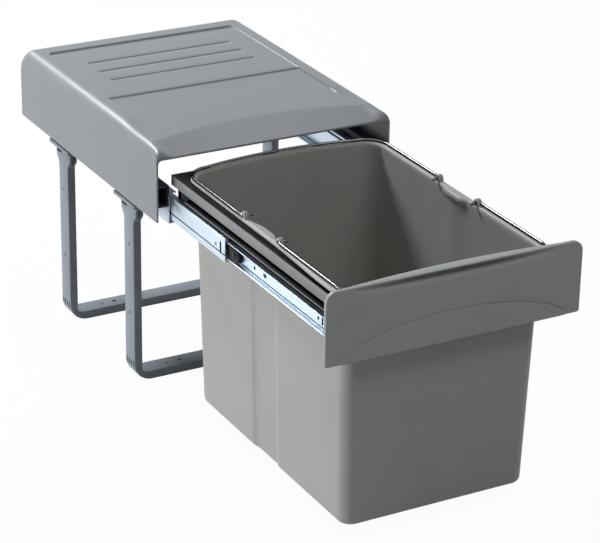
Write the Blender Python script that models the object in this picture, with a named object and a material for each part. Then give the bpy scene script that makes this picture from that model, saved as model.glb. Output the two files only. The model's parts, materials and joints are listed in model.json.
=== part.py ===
"""Built-in pull-out waste bin.

A lift-out bin sits in a carrier frame that runs on ball-bearing slides under a fixed cover.
Units are metres, +Z is up and the bin pulls out towards -Y. The part is drawn fully pulled out.
The origin is on the cabinet floor, under the middle of the outline of the pulled-out part.
"""
import math

import bmesh
import bpy
from mathutils import Matrix, Vector

# Sizes that every piece shares
FIT_GAP = 0.0003
CUT_OVERRUN = 0.002
JOIN_OVERLAP = 0.0008
HOLE_SIDES = 10

# Fixed cover: a moulded shell over the closed bin, with a skirt down each side
COVER_WIDTH = 0.355
COVER_DEPTH = 0.460
COVER_TOP = 0.378
SKIRT_HEIGHT = 0.102
COVER_TOP_WALL = 0.0045
COVER_WALL = 0.0025
COVER_EDGE_RADIUS = 0.014
LIP_DROP = 0.0125
LIP_WALL = 0.0025
FASCIA_CENTRE_REACH = 0.090
FASCIA_SIDE_REACH = 0.049
FASCIA_ROWS = 4
EDGE_STEPS = 5
TOP_COLUMNS = 10
FRONT_TRAY_LENGTH = 0.214
FRONT_TRAY_DEPTH = 0.0025
REAR_TRAY_DEPTH = 0.0015
REAR_BORDER = 0.037
TRAY_MARGIN = 0.0285
TRAY_CORNER_RADIUS = 0.007
GROOVE_COUNT = 3
GROOVE_FIRST = 0.068
GROOVE_PITCH = 0.039
GROOVE_MARGIN = 0.037
GROOVE_RADIUS = 0.0016
GROOVE_RISE = 0.0007
SEAT_RIB_WALL = 0.0025
SEAT_RIB_SHARES = (0.15, 0.45, 0.90)
SKIRT_BOTTOM = COVER_TOP - SKIRT_HEIGHT
LIP_BOTTOM = COVER_TOP - LIP_DROP - LIP_WALL
TRAY_HALF_WIDTH = COVER_WIDTH / 2 - TRAY_MARGIN
GROOVE_HALF_LENGTH = TRAY_HALF_WIDTH - GROOVE_MARGIN

# Side rails: channels inside the skirts that carry the slides
RAIL_WIDTH = 0.0158
RAIL_HEIGHT = 0.030
RAIL_WALL = 0.0022
RAIL_DROP = 0.052
RAIL_SKIRT_GAP = 0.0004
RAIL_FRONT_SETBACK = 0.001
RAIL_REAR_SETBACK = 0.005
RAIL_LENGTH = COVER_DEPTH - RAIL_FRONT_SETBACK - RAIL_REAR_SETBACK
RAIL_OUTER = COVER_WIDTH / 2 - COVER_WALL - RAIL_SKIRT_GAP
RAIL_INNER = RAIL_OUTER - RAIL_WIDTH
RAIL_TOP = COVER_TOP - RAIL_DROP
RAIL_BOTTOM = RAIL_TOP - RAIL_HEIGHT

# Floor frames: two U-shaped frames that stand on the cabinet floor and carry the rails
LEG_WALL = 0.012
LEG_INSET = 0.0007
FRAME_DEPTH = 0.030
FOOT_BAR_HEIGHT = 0.0125
FOOT_CORNER_RADIUS = 0.027
FOOT_INNER_RADIUS = 0.005
FOOT_CORNER_STEPS = 6
FRONT_FRAME_PLACE = 0.088
FRAME_SPACING = 0.222
HEAD_PLATE_HEIGHT = 0.0055
HEAD_PLATE_DROP = 0.0055
HEAD_PLATE_REAR_REACH = 0.027
HEAD_PLATE_FRONT_REACH = 0.009
FLARE_HEIGHT = 0.025
FLARE_REACH = 0.0085
LEG_HOLE_RADIUS = 0.0018
LEG_HOLE_DEPTH = 0.006
LEG_HOLE_SHARES = (0.385, 0.775)
NOTCH_COUNT = 4
NOTCH_BOTTOM = 0.0165
NOTCH_PITCH = 0.005
NOTCH_HEIGHT = 0.0025
NOTCH_DEPTH = 0.0014
NOTCH_LENGTH = 0.013
FLOOR_HOLE_INSET = 0.0645
FLOOR_HOLE_RADIUS = 0.003
PILOT_HOLE_INSET = 0.0445
PILOT_HOLE_RADIUS = 0.0017
LEG_INNER = RAIL_INNER + LEG_INSET
LEG_OUTER = LEG_INNER + LEG_WALL
LEG_TOP = RAIL_BOTTOM - FIT_GAP
HEAD_PLATE_TOP = SKIRT_BOTTOM - HEAD_PLATE_DROP
HEAD_PLATE_BOTTOM = HEAD_PLATE_TOP - HEAD_PLATE_HEIGHT
FRAME_PLACES = (("front", FRONT_FRAME_PLACE), ("rear", FRONT_FRAME_PLACE + FRAME_SPACING))

# Ball-bearing slides, three members in each, counted inwards from the slide's outer face
SLIDE_THICKNESS = 0.0127
SLIDE_DROP = 0.0031
SLIDE_SETBACK = 0.003
SLIDE_REAR_MARGIN = 0.002
OUTER_EXTRA_LENGTH = 0.010
SLIDE_OVERTRAVEL = 0.0057
INTERMEDIATE_SHARE = 0.354
SHEET = 0.0012
OUTER_HALF_HEIGHT = 0.0225
OUTER_FLANGE_SETBACK = 0.0022
OUTER_LIP_HEIGHT = 0.0028
MIDDLE_FLANGE_SETBACK = 0.0017
BIG_BALL_RADIUS = 0.0021
SMALL_BALL_RADIUS = 0.0014
CAGE_SHEET = 0.0007
CAGE_LENGTH = 0.100
CAGE_BALL_COUNT = 5
BALL_SIDES = 7
BALL_RINGS = 5
OUTER_CAGE_SETBACK = 0.007
INNER_CAGE_SETBACK = 0.016
BUFFER_LENGTH = 0.007
BUFFER_SETBACK = 0.001
SLIDE_LENGTH = COVER_DEPTH - SLIDE_SETBACK - OUTER_EXTRA_LENGTH - SLIDE_REAR_MARGIN
SLIDE_TRAVEL = SLIDE_LENGTH + SLIDE_OVERTRAVEL
SLIDE_OUTER_FACE = RAIL_INNER - FIT_GAP
SLIDE_INNER_FACE = SLIDE_OUTER_FACE - SLIDE_THICKNESS
SLIDE_CENTRE = RAIL_BOTTOM - SLIDE_DROP
MIDDLE_HALF_HEIGHT = OUTER_HALF_HEIGHT - SHEET - 2 * (BIG_BALL_RADIUS + FIT_GAP)
INNER_HALF_HEIGHT = MIDDLE_HALF_HEIGHT - SHEET - 2 * (SMALL_BALL_RADIUS + FIT_GAP)
OUTER_FLANGE_END = SLIDE_THICKNESS - OUTER_FLANGE_SETBACK
OUTER_CAGE_WEB = SHEET + FIT_GAP
OUTER_CAGE_END = OUTER_FLANGE_END - SHEET - FIT_GAP
MIDDLE_WEB = OUTER_CAGE_WEB + CAGE_SHEET + FIT_GAP
MIDDLE_FLANGE_END = SLIDE_THICKNESS - MIDDLE_FLANGE_SETBACK
INNER_CAGE_WEB = MIDDLE_WEB + SHEET + FIT_GAP
INNER_CAGE_END = MIDDLE_FLANGE_END - FIT_GAP
INNER_FLANGE_START = INNER_CAGE_WEB + CAGE_SHEET + FIT_GAP
INTERMEDIATE_SHIFT = -SLIDE_TRAVEL * INTERMEDIATE_SHARE

# Release levers in the inner members
LEVER_EXPOSED = 0.033
LEVER_LENGTH = 0.060
LEVER_NOSE_LENGTH = 0.030
LEVER_HALF_HEIGHT = 0.0085
LEVER_TAIL_HALF_HEIGHT = 0.0045
LEVER_PIVOT_BACK = 0.016
LEVER_PIN_RADIUS = 0.0016
LEVER_PIN_HEAD_RADIUS = 0.0030
LEVER_PIN_HEAD_HEIGHT = 0.0007
NOSE_STEPS = 6
LEVER_FRONT = SLIDE_SETBACK + INTERMEDIATE_SHIFT - LEVER_EXPOSED
LEVER_START = INNER_FLANGE_START + FIT_GAP + LEVER_PIN_HEAD_HEIGHT

# Slots and holes of the members: place behind the front end, length and height
MEMBER_HOLE_STEPS = 2
MEMBER_HOLE_FLAT_SHARE = 0.05
INTERMEDIATE_HOLE_SHARES = ((0.040, 0.007, 0.42), (0.060, 0.009, 0.12))
INNER_HOLE_SHARES = ((0.198, 0.016, 0.50), (0.239, 0.018, 0.19), (0.774, 0.032, 0.21), (0.882, 0.019, 0.21))
LEVER_SETBACK = LEVER_FRONT - SLIDE_SETBACK + SLIDE_TRAVEL

# Front panel
PANEL_WIDTH = 0.360
PANEL_HEIGHT = 0.097
PANEL_LIP_GAP = 0.0004
PANEL_WALL = 0.006
PANEL_BULGE = 0.009
PANEL_BULGE_HEIGHT = 0.020
PANEL_CORNER_RADIUS = 0.0145
PANEL_FOOT_RADIUS = 0.003
PANEL_ARC_MARGIN = 0.020
PANEL_ARC_RISE = 0.0435
PANEL_ARC_STEP = 0.0008
GRIP_MARGIN = 0.022
GRIP_LIP = 0.0030
GRIP_HEIGHT = 0.0125
GRIP_DEPTH = 0.009
ARC_STEPS = 16
CLOSED_GAP = 0.0066
PANEL_TOP = LIP_BOTTOM - PANEL_LIP_GAP
PANEL_BOTTOM = PANEL_TOP - PANEL_HEIGHT
PANEL_BACK = -(SLIDE_TRAVEL + CLOSED_GAP)
PANEL_FRONT = PANEL_BACK - PANEL_WALL
GRIP_HALF_WIDTH = PANEL_WIDTH / 2 - GRIP_MARGIN
COVER_FRONT = (PANEL_ARC_STEP - PANEL_FRONT - COVER_DEPTH) / 2

# Carrier frame on the inner members
CARRIER_SIDE_GAP = 0.0043
CARRIER_DROP = 0.023
CARRIER_WALL = 0.003
CARRIER_SKIRT_HEIGHT = 0.014
CARRIER_WEB_WALL = 0.004
CARRIER_WEB_HEIGHT = 0.072
CARRIER_WEB_SETBACK = 0.0115
CARRIER_RIB_REACH = 0.0025
CARRIER_RIB_GAP = 0.0016
CARRIER_RIB_HEIGHT = 0.0035
CARRIER_RIB_SETBACK = 0.0455
CARRIER_FRONT_WEB_HEIGHT = 0.050
CARRIER_REAR_WEB_HEIGHT = 0.040
BIN_SEAT_GAP = 0.0004
CARRIER_FRONT = PANEL_BACK + FIT_GAP
CARRIER_TOP = LIP_BOTTOM - CARRIER_DROP
CARRIER_OUTER = RAIL_INNER - CARRIER_SIDE_GAP
CARRIER_WEB_OUTER = SLIDE_INNER_FACE - FIT_GAP
CARRIER_WEB_INNER = CARRIER_WEB_OUTER - CARRIER_WEB_WALL
CARRIER_RIB_BOTTOM = SLIDE_CENTRE + OUTER_HALF_HEIGHT + CARRIER_RIB_GAP

# Waste bin
BIN_HEIGHT = 0.324
BIN_RIM_RISE = 0.008
BIN_WALL = 0.0025
BIN_FOOT_FILLET = 0.007
BIN_SIDE_DRAFT = 0.0085
BIN_FRONT_GAP = 0.0148
BIN_FRONT_DRAFT = 0.0055
BIN_REAR_GAP = 0.0232
BIN_LIFT_GAP = 0.0005
BIN_REAR_DRAFT = 0.0085
BIN_REAR_BOW = 0.0115
BIN_CORNER_RADIUS = 0.030
BIN_CORNER_STEPS = 5
WAIST_DEPTH = 0.003
WAIST_SHARE = 0.4953
WAIST_HALF_LENGTH = 0.037
WAIST_STEPS = 8
RIM_PLATE = 0.0035
RIM_REACH = 0.0080
RIM_FRONT_SHARE = 0.5
RIM_LIP_WALL = 0.0025
RIM_EDGE = 0.0010
RIM_TOP = CARRIER_TOP + BIN_RIM_RISE
BIN_BOTTOM = RIM_TOP - BIN_HEIGHT
BIN_TOP_HALF_WIDTH = CARRIER_WEB_INNER - BIN_SEAT_GAP
BIN_TOP_FRONT = CARRIER_FRONT + BIN_FRONT_GAP
BIN_TOP_REAR = -(BIN_LIFT_GAP + BIN_REAR_BOW + RIM_REACH)
CARRIER_REAR_REACH = BIN_TOP_REAR + BIN_REAR_GAP
WAIST_HALF_WIDTH = BIN_TOP_HALF_WIDTH - BIN_SIDE_DRAFT - WAIST_DEPTH
WAIST_PLACE = BIN_TOP_FRONT + (BIN_TOP_REAR - BIN_TOP_FRONT) * WAIST_SHARE
RIM_OUTER = BIN_TOP_HALF_WIDTH + RIM_REACH
RIM_LIP_BOTTOM = CARRIER_TOP + FIT_GAP

# Bails: two wire handles that fold down on the bin's rim
WIRE_RADIUS = 0.0020
WIRE_SIDES = 8
WIRE_RESOLUTION = 2
WIRE_EDGE_MARGIN = 0.0023
BAIL_PIN_REACH = 0.0040
BAIL_CORNER_RADIUS = 0.028
BAIL_BEND_RADIUS = 0.003
BAIL_END_MARGIN = 0.0040
REAR_PIVOT_BACK = 0.047
FRONT_PIVOT_AHEAD = 0.047
LUG_LENGTH = 0.0060
LUG_HALF_WIDTH = 0.0050
BEND_STEPS = 4
WIRE_HEIGHT = RIM_TOP + FIT_GAP + WIRE_RADIUS
BAIL_OUTER = RIM_OUTER - WIRE_EDGE_MARGIN
LUG_OUTER = BAIL_OUTER - BAIL_BEND_RADIUS - FIT_GAP
BAIL_PIN_INNER = LUG_OUTER - LUG_LENGTH - BAIL_PIN_REACH
REAR_PIVOT = WAIST_PLACE + REAR_PIVOT_BACK
FRONT_PIVOT = WAIST_PLACE - FRONT_PIVOT_AHEAD
REAR_BAIL_END = BIN_TOP_REAR + RIM_REACH - BAIL_END_MARGIN
FRONT_BAIL_END = BIN_TOP_FRONT - RIM_REACH * RIM_FRONT_SHARE + WIRE_EDGE_MARGIN

# Screws, with their places as shares of what they hold
SCREW_RADIUS = 0.0018
SCREW_HEAD_RADIUS = 0.0035
SCREW_HEAD_HEIGHT = 0.0018
SCREW_CLEARANCE = 0.0003
RAIL_SCREW_SHARES = (0.50, 0.72, 0.95)
CARRIER_SCREW_SHARES = (0.03, 0.85)
LEG_SCREW_LENGTH = 0.014
PANEL_SCREW_SHARES = (-0.79, -0.28, 0.28, 0.79)
PANEL_SCREW_RISE = 0.0394
PANEL_SCREW_TIP_GAP = 0.0015
PANEL_SCREW_LEVEL = PANEL_BOTTOM + PANEL_SCREW_RISE
RAIL_SCREW_LEVEL = (RAIL_BOTTOM + SLIDE_CENTRE + OUTER_HALF_HEIGHT) / 2
LEG_MIDDLE = (LEG_INNER + LEG_OUTER) / 2

# Colours as linear RGB, with roughness and metallic value
GREY_COVER = ("cover_plastic", (0.30, 0.32, 0.34), 0.45, 0.0)
GREY_FRAME = ("frame_plastic", (0.15, 0.16, 0.18), 0.5, 0.0)
GREY_PANEL = ("panel_plastic", (0.17, 0.18, 0.18), 0.45, 0.0)
GREY_BIN = ("bin_plastic", (0.26, 0.26, 0.24), 0.4, 0.0)
BLACK_PLASTIC = ("black_plastic", (0.02, 0.02, 0.02), 0.5, 0.0)
ZINC = ("zinc_steel", (0.62, 0.66, 0.70), 0.3, 1.0)
DARK_STEEL = ("painted_rail", (0.03, 0.03, 0.03), 0.5, 0.3)
CHROME = ("chrome_wire", (0.75, 0.75, 0.76), 0.12, 1.0)
BALL_STEEL = ("ball_steel", (0.60, 0.60, 0.62), 0.15, 1.0)
SCREW_STEEL = ("screw_steel", (0.55, 0.56, 0.58), 0.3, 1.0)


def clear_scene():
    """Remove every object that is in the file."""
    for item in list(bpy.data.objects):
        bpy.data.objects.remove(item, do_unlink=True)


def material(spec):
    """Return the Principled material for a (name, colour, roughness, metallic) tuple."""
    name, colour, roughness, metallic = spec
    found = bpy.data.materials.get(name)
    if found:
        return found
    made = bpy.data.materials.new(name)
    made.use_nodes = True
    shader = made.node_tree.nodes["Principled BSDF"]
    shader.inputs["Base Color"].default_value = (*colour, 1.0)
    shader.inputs["Roughness"].default_value = roughness
    shader.inputs["Metallic"].default_value = metallic
    made.diffuse_color = (*colour, 1.0)
    return made


def to_object(name, bm, spec=None, origin=(0.0, 0.0, 0.0)):
    """Turn a bmesh in world coordinates into an object with its origin at the given point."""
    bmesh.ops.recalc_face_normals(bm, faces=bm.faces)
    bmesh.ops.translate(bm, verts=bm.verts, vec=-Vector(origin))
    mesh = bpy.data.meshes.new(name)
    bm.to_mesh(mesh)
    bm.free()
    made = bpy.data.objects.new(name, mesh)
    made.location = origin
    bpy.context.scene.collection.objects.link(made)
    if spec:
        made.data.materials.append(material(spec))
    return made


def place(axis, first, second, along):
    """A point from its two cross coordinates and its coordinate along the axis."""
    if axis == "X":
        return Vector((along, first, second))
    if axis == "Y":
        return Vector((first, along, second))
    return Vector((first, second, along))


def add_prism(bm, axis, outline, low, high):
    """Add a prism with the given outline, from low to high along the axis."""
    bottom = [bm.verts.new(place(axis, a, b, low)) for a, b in outline]
    top = [bm.verts.new(place(axis, a, b, high)) for a, b in outline]
    bm.faces.new(bottom)
    bm.faces.new(list(reversed(top)))
    count = len(outline)
    for i in range(count):
        j = (i + 1) % count
        bm.faces.new((bottom[i], top[i], top[j], bottom[j]))


def rectangle(low, high):
    """The four corners of a rectangle from its lowest and highest corner."""
    return [(low[0], low[1]), (high[0], low[1]), (high[0], high[1]), (low[0], high[1])]


def add_box(bm, low, high):
    """Add a box given by its lowest and highest corner."""
    add_prism(bm, "Z", rectangle(low[:2], high[:2]), low[2], high[2])


def side_box(bm, side, inner, outer, front, rear, bottom, top):
    """Add a box on the left (side -1) or right (side 1), given by its distances from the middle."""
    xs = sorted((side * inner, side * outer))
    add_box(bm, (xs[0], front, bottom), (xs[1], rear, top))


def arc(centre, radius, start, end, steps):
    """Points on an arc from start to end, in degrees, both ends included."""
    points = []
    for i in range(steps + 1):
        angle = math.radians(start + (end - start) * i / steps)
        points.append((centre[0] + radius * math.cos(angle), centre[1] + radius * math.sin(angle)))
    return points


def circle(centre, radius, sides):
    """The corners of a regular polygon."""
    return arc(centre, radius, 0, 360 - 360 / sides, sides - 1)


def rounded_rectangle(low, high, radius, steps):
    """A rectangle with four round corners."""
    left, bottom = low
    right, top = high
    points = arc((right - radius, bottom + radius), radius, -90, 0, steps)
    points += arc((right - radius, top - radius), radius, 0, 90, steps)
    points += arc((left + radius, top - radius), radius, 90, 180, steps)
    points += arc((left + radius, bottom + radius), radius, 180, 270, steps)
    return points


def add_cylinder(bm, axis, centre, radius, low, high, sides=HOLE_SIDES):
    """Add a round rod along the axis."""
    add_prism(bm, axis, circle(centre, radius, sides), low, high)


def boolean(target, operation, bm, label):
    """Cut or join the solids of a bmesh, through a hidden helper object."""
    helper = to_object(f"{target.name}_{label}", bm)
    helper.hide_render = True
    helper.display_type = "WIRE"
    helper.parent = target
    helper.matrix_parent_inverse = target.matrix_basis.inverted()
    modifier = target.modifiers.new(label, "BOOLEAN")
    modifier.operation = operation
    modifier.solver = "EXACT"
    modifier.object = helper
    return helper


def cut(target, bm, label):
    """Cut the solids of a bmesh out of the target."""
    return boolean(target, "DIFFERENCE", bm, label)


def join(target, bm, label):
    """Join one solid of a bmesh to the target."""
    return boolean(target, "UNION", bm, label)


def smooth(target, angle=40.0):
    """Shade the round faces of a piece smooth and keep its edges sharp."""
    target.data.shade_smooth()
    target.data.set_sharp_from_angle(angle=math.radians(angle))


def fascia_reach(x):
    """How far behind the front edge the sloping fascia starts, at a distance x from the middle."""
    share = x / (COVER_WIDTH / 2)
    return FASCIA_CENTRE_REACH - (FASCIA_CENTRE_REACH - FASCIA_SIDE_REACH) * share * share


def cover_rows():
    """Rows of the cover from front to rear: a share of the fascia, a distance, and the drop of the top."""
    rows = []
    for i in range(FASCIA_ROWS + 1):
        share = i / FASCIA_ROWS
        rows.append((share, 0.0, LIP_DROP * (1 - share)))
    for i in range(EDGE_STEPS + 1):
        angle = math.pi / 2 * i / EDGE_STEPS
        distance = COVER_DEPTH - COVER_EDGE_RADIUS * (1 - math.sin(angle))
        rows.append((None, distance, COVER_EDGE_RADIUS * (1 - math.cos(angle))))
    return rows


def cover_path(top, half_width, radius):
    """The section across the cover at one row: up the left skirt, over the top, down the right one."""
    flat = half_width - radius
    left = [(-half_width, SKIRT_BOTTOM)]
    left += arc((-flat, top - radius), radius, 180, 90, EDGE_STEPS)
    middle = []
    for i in range(1, TOP_COLUMNS):
        middle.append((-flat + 2 * flat * i / TOP_COLUMNS, top))
    right = [(-x, z) for x, z in reversed(left)]
    return left + middle + right


def cover_grid(bm, wall_x, lip_wall, top_wall, radius):
    """Vertices of the outer or the inner surface of the cover, row by row."""
    grid = []
    for share, distance, drop in cover_rows():
        wall_z = top_wall if share is None else lip_wall + (top_wall - lip_wall) * share
        top = COVER_TOP - drop - wall_z
        row = []
        for x, z in cover_path(top, COVER_WIDTH / 2 - wall_x, radius):
            reach = distance if share is None else share * fascia_reach(x)
            row.append(bm.verts.new((x, COVER_FRONT + reach, z)))
        grid.append(row)
    return grid


def bridge_rows(bm, first, second):
    """Join two rows of vertices by a strip of faces."""
    for i in range(len(first) - 1):
        bm.faces.new((first[i], first[i + 1], second[i + 1], second[i]))


def make_cover():
    """The fixed cover, open below and at both ends under its lips."""
    bm = bmesh.new()
    outer = cover_grid(bm, 0.0, 0.0, 0.0, COVER_EDGE_RADIUS)
    inner = cover_grid(bm, COVER_WALL, LIP_WALL, COVER_TOP_WALL, COVER_EDGE_RADIUS - COVER_WALL)
    for grid in (outer, inner):
        for first, second in zip(grid, grid[1:]):
            bridge_rows(bm, first, second)
    bridge_rows(bm, outer[0], inner[0])
    bridge_rows(bm, outer[-1], inner[-1])
    for side in (0, -1):
        bridge_rows(bm, [row[side] for row in outer], [row[side] for row in inner])
    cover = to_object("cover", bm, GREY_COVER)
    smooth(cover)
    add_seat_ribs(cover)
    cut_trays(cover)
    return cover


def seat_rib_outline():
    """Outline of a rib on the right, from the rail's top up into the round edge of the cover."""
    radius = COVER_EDGE_RADIUS - COVER_WALL
    centre = (COVER_WIDTH / 2 - COVER_EDGE_RADIUS, COVER_TOP - COVER_TOP_WALL - radius)
    outline = [(RAIL_INNER, RAIL_TOP + FIT_GAP), (centre[0] + radius + JOIN_OVERLAP, RAIL_TOP + FIT_GAP)]
    outline += arc(centre, radius + JOIN_OVERLAP, 0, 90, EDGE_STEPS)
    outline.append((RAIL_INNER, COVER_TOP - COVER_TOP_WALL + JOIN_OVERLAP))
    return outline


def add_seat_ribs(cover):
    """Ribs inside the cover that sit on top of the side rails."""
    for number, share in enumerate(SEAT_RIB_SHARES, 1):
        for side, word in ((-1, "left"), (1, "right")):
            bm = bmesh.new()
            front = COVER_FRONT + COVER_DEPTH * share
            outline = [(side * x, z) for x, z in seat_rib_outline()]
            add_prism(bm, "Y", outline, front, front + SEAT_RIB_WALL)
            join(cover, bm, f"{word}_seat_rib_{number}")


def cut_trays(cover):
    """The sunken trays and the grooves in the top of the cover."""
    mid = COVER_FRONT + FRONT_TRAY_LENGTH
    above = COVER_TOP + CUT_OVERRUN
    bm = bmesh.new()
    rear = COVER_FRONT + COVER_DEPTH - REAR_BORDER
    outline = rounded_rectangle(
        (-TRAY_HALF_WIDTH, mid - FRONT_TRAY_LENGTH / 2), (TRAY_HALF_WIDTH, rear),
        TRAY_CORNER_RADIUS, EDGE_STEPS,
    )
    add_prism(bm, "Z", outline, COVER_TOP - REAR_TRAY_DEPTH, above)
    cut(cover, bm, "rear_tray")
    bm = bmesh.new()
    front = COVER_FRONT - CUT_OVERRUN
    add_box(
        bm, (-TRAY_HALF_WIDTH, front, COVER_TOP - FRONT_TRAY_DEPTH), (TRAY_HALF_WIDTH, mid, above)
    )
    cut(cover, bm, "front_tray")
    bm = bmesh.new()
    for i in range(GROOVE_COUNT):
        centre = (mid + GROOVE_FIRST + i * GROOVE_PITCH, COVER_TOP - REAR_TRAY_DEPTH + GROOVE_RISE)
        add_cylinder(bm, "X", centre, GROOVE_RADIUS, -GROOVE_HALF_LENGTH, GROOVE_HALF_LENGTH)
    cut(cover, bm, "grooves")


def floor_frame_outline():
    """The U of a floor frame, seen from the front, up to the foot of its head plates."""
    top = HEAD_PLATE_BOTTOM + HEAD_PLATE_HEIGHT / 2
    low = FOOT_CORNER_RADIUS
    outer = [(-LEG_OUTER, top)]
    outer += arc((-LEG_OUTER + low, low), low, 180, 270, FOOT_CORNER_STEPS)
    outer += arc((LEG_OUTER - low, low), low, 270, 360, FOOT_CORNER_STEPS)
    outer.append((LEG_OUTER, top))
    small = FOOT_INNER_RADIUS
    inner = [(LEG_INNER, top)]
    inner += arc((LEG_INNER - small, FOOT_BAR_HEIGHT + small), small, 0, -90, 2)
    inner += arc((-LEG_INNER + small, FOOT_BAR_HEIGHT + small), small, 270, 180, 2)
    inner.append((-LEG_INNER, top))
    return outer + inner


def add_flare(bm, side, front):
    """The head of a leg: it widens towards the plate under the cover's skirt."""
    rear = front + FRAME_DEPTH
    outline = [
        (front, HEAD_PLATE_BOTTOM - FLARE_HEIGHT), (rear, HEAD_PLATE_BOTTOM - FLARE_HEIGHT),
        (rear + FLARE_REACH, HEAD_PLATE_BOTTOM), (rear + FLARE_REACH, HEAD_PLATE_BOTTOM + JOIN_OVERLAP),
        (front - FLARE_REACH, HEAD_PLATE_BOTTOM + JOIN_OVERLAP), (front - FLARE_REACH, HEAD_PLATE_BOTTOM),
    ]
    xs = sorted((side * (LEG_INNER - JOIN_OVERLAP), side * (LEG_OUTER + JOIN_OVERLAP)))
    add_prism(bm, "X", outline, xs[0], xs[1])


def make_floor_frame(name, distance):
    """One U-shaped floor frame, with its front face at a distance behind the cover's front edge."""
    front = COVER_FRONT + distance
    rear = front + FRAME_DEPTH
    middle = front + FRAME_DEPTH / 2
    bm = bmesh.new()
    add_prism(bm, "Y", floor_frame_outline(), front, rear)
    frame = to_object(name, bm, GREY_FRAME)
    smooth(frame)
    for side, word in ((-1, "left"), (1, "right")):
        bm = bmesh.new()
        add_flare(bm, side, front)
        join(frame, bm, f"{word}_flare")
        bm = bmesh.new()
        side_box(
            bm, side, RAIL_INNER, RAIL_OUTER, front - HEAD_PLATE_FRONT_REACH,
            rear + HEAD_PLATE_REAR_REACH, HEAD_PLATE_BOTTOM, HEAD_PLATE_TOP,
        )
        join(frame, bm, f"{word}_head_plate")
        bm = bmesh.new()
        side_box(bm, side, LEG_INNER, LEG_OUTER, front + JOIN_OVERLAP, rear - JOIN_OVERLAP,
                 HEAD_PLATE_BOTTOM + JOIN_OVERLAP, LEG_TOP)
        join(frame, bm, f"{word}_neck")
    cut(frame, floor_frame_holes(front, middle), "holes")
    return frame


def foot_surface(z):
    """Distance from the middle to a leg's outer face at a height, also on its rounded foot."""
    below = max(FOOT_CORNER_RADIUS - z, 0)
    return LEG_OUTER - FOOT_CORNER_RADIUS + math.sqrt(FOOT_CORNER_RADIUS ** 2 - below ** 2)


def floor_frame_holes(front, middle):
    """Screw holes, pilot holes and the ribbed notches of a floor frame."""
    bm = bmesh.new()
    for side in (-1, 1):
        outside = sorted((side * (LEG_OUTER - LEG_HOLE_DEPTH), side * (LEG_OUTER + CUT_OVERRUN)))
        for share in LEG_HOLE_SHARES:
            spot = (middle, HEAD_PLATE_BOTTOM * share)
            add_cylinder(bm, "X", spot, LEG_HOLE_RADIUS, *outside)
        for i in range(NOTCH_COUNT):
            low = NOTCH_BOTTOM + i * NOTCH_PITCH
            side_box(bm, side, foot_surface(low) - NOTCH_DEPTH, LEG_OUTER + CUT_OVERRUN,
                     front - CUT_OVERRUN, front + NOTCH_LENGTH, low, low + NOTCH_HEIGHT)
        holes = ((FLOOR_HOLE_INSET, FLOOR_HOLE_RADIUS), (PILOT_HOLE_INSET, PILOT_HOLE_RADIUS))
        for inset, radius in holes:
            spot = (side * (LEG_INNER - inset), middle)
            add_cylinder(bm, "Z", spot, radius, -CUT_OVERRUN, FOOT_BAR_HEIGHT + CUT_OVERRUN)
        spot = (side * LEG_MIDDLE, middle)
        depth = LEG_SCREW_LENGTH + CUT_OVERRUN
        add_cylinder(bm, "Z", spot, SCREW_RADIUS + SCREW_CLEARANCE, LEG_TOP - depth, LEG_TOP + CUT_OVERRUN)
    return bm


def rail_screw_places():
    """World y of the screws that hold a slide on its rail."""
    front = COVER_FRONT + RAIL_FRONT_SETBACK
    return [front + RAIL_LENGTH * share for share in RAIL_SCREW_SHARES]


def carrier_screw_places():
    """World y of the screws that hold the carrier on an inner member."""
    front = COVER_FRONT + SLIDE_SETBACK - SLIDE_TRAVEL
    return [front + SLIDE_LENGTH * share for share in CARRIER_SCREW_SHARES]


def make_side_rail(side, word):
    """A channel with its web against the slide and its flanges towards the skirt."""
    web = RAIL_INNER + RAIL_WALL
    points = [
        (RAIL_INNER, RAIL_BOTTOM), (RAIL_OUTER, RAIL_BOTTOM), (RAIL_OUTER, RAIL_BOTTOM + RAIL_WALL),
        (web, RAIL_BOTTOM + RAIL_WALL), (web, RAIL_TOP - RAIL_WALL), (RAIL_OUTER, RAIL_TOP - RAIL_WALL),
        (RAIL_OUTER, RAIL_TOP), (RAIL_INNER, RAIL_TOP),
    ]
    bm = bmesh.new()
    front = COVER_FRONT + RAIL_FRONT_SETBACK
    add_prism(bm, "Y", [(side * x, z) for x, z in points], front, front + RAIL_LENGTH)
    rail = to_object(f"{word}_side_rail", bm, DARK_STEEL)
    bm = bmesh.new()
    hole = SCREW_RADIUS + SCREW_CLEARANCE
    xs = sorted((side * (RAIL_INNER - CUT_OVERRUN), side * (web + CUT_OVERRUN)))
    for y in rail_screw_places():
        add_cylinder(bm, "X", (y, RAIL_SCREW_LEVEL), hole, *xs)
    for _, distance in FRAME_PLACES:
        spot = (side * LEG_MIDDLE, COVER_FRONT + distance + FRAME_DEPTH / 2)
        add_cylinder(bm, "Z", spot, hole, RAIL_BOTTOM - CUT_OVERRUN, RAIL_BOTTOM + RAIL_WALL + CUT_OVERRUN)
    cut(rail, bm, "screw_holes")
    return rail


def channel(side, web_near, web_far, flange_end, half_height, lip=0.0):
    """Section of a slide member: a web and two flanges, with an optional lip at the flange ends.

    Distances are counted inwards from the slide's outer face.
    """
    step = SHEET if flange_end > web_near else -SHEET
    upper = [(web_near, half_height), (flange_end, half_height)]
    if lip:
        upper += [(flange_end, half_height - lip), (flange_end - step, half_height - lip)]
        upper.append((flange_end - step, half_height - SHEET))
    else:
        upper.append((flange_end, half_height - SHEET))
    upper.append((web_far, half_height - SHEET))
    lower = [(place_in, -height) for place_in, height in reversed(upper)]
    return [(side * (SLIDE_OUTER_FACE - s), SLIDE_CENTRE + z) for s, z in upper + lower]


def slide_x(side, *distances):
    """World x of distances counted inwards from a slide's outer face, sorted."""
    return sorted(side * (SLIDE_OUTER_FACE - distance) for distance in distances)


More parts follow.
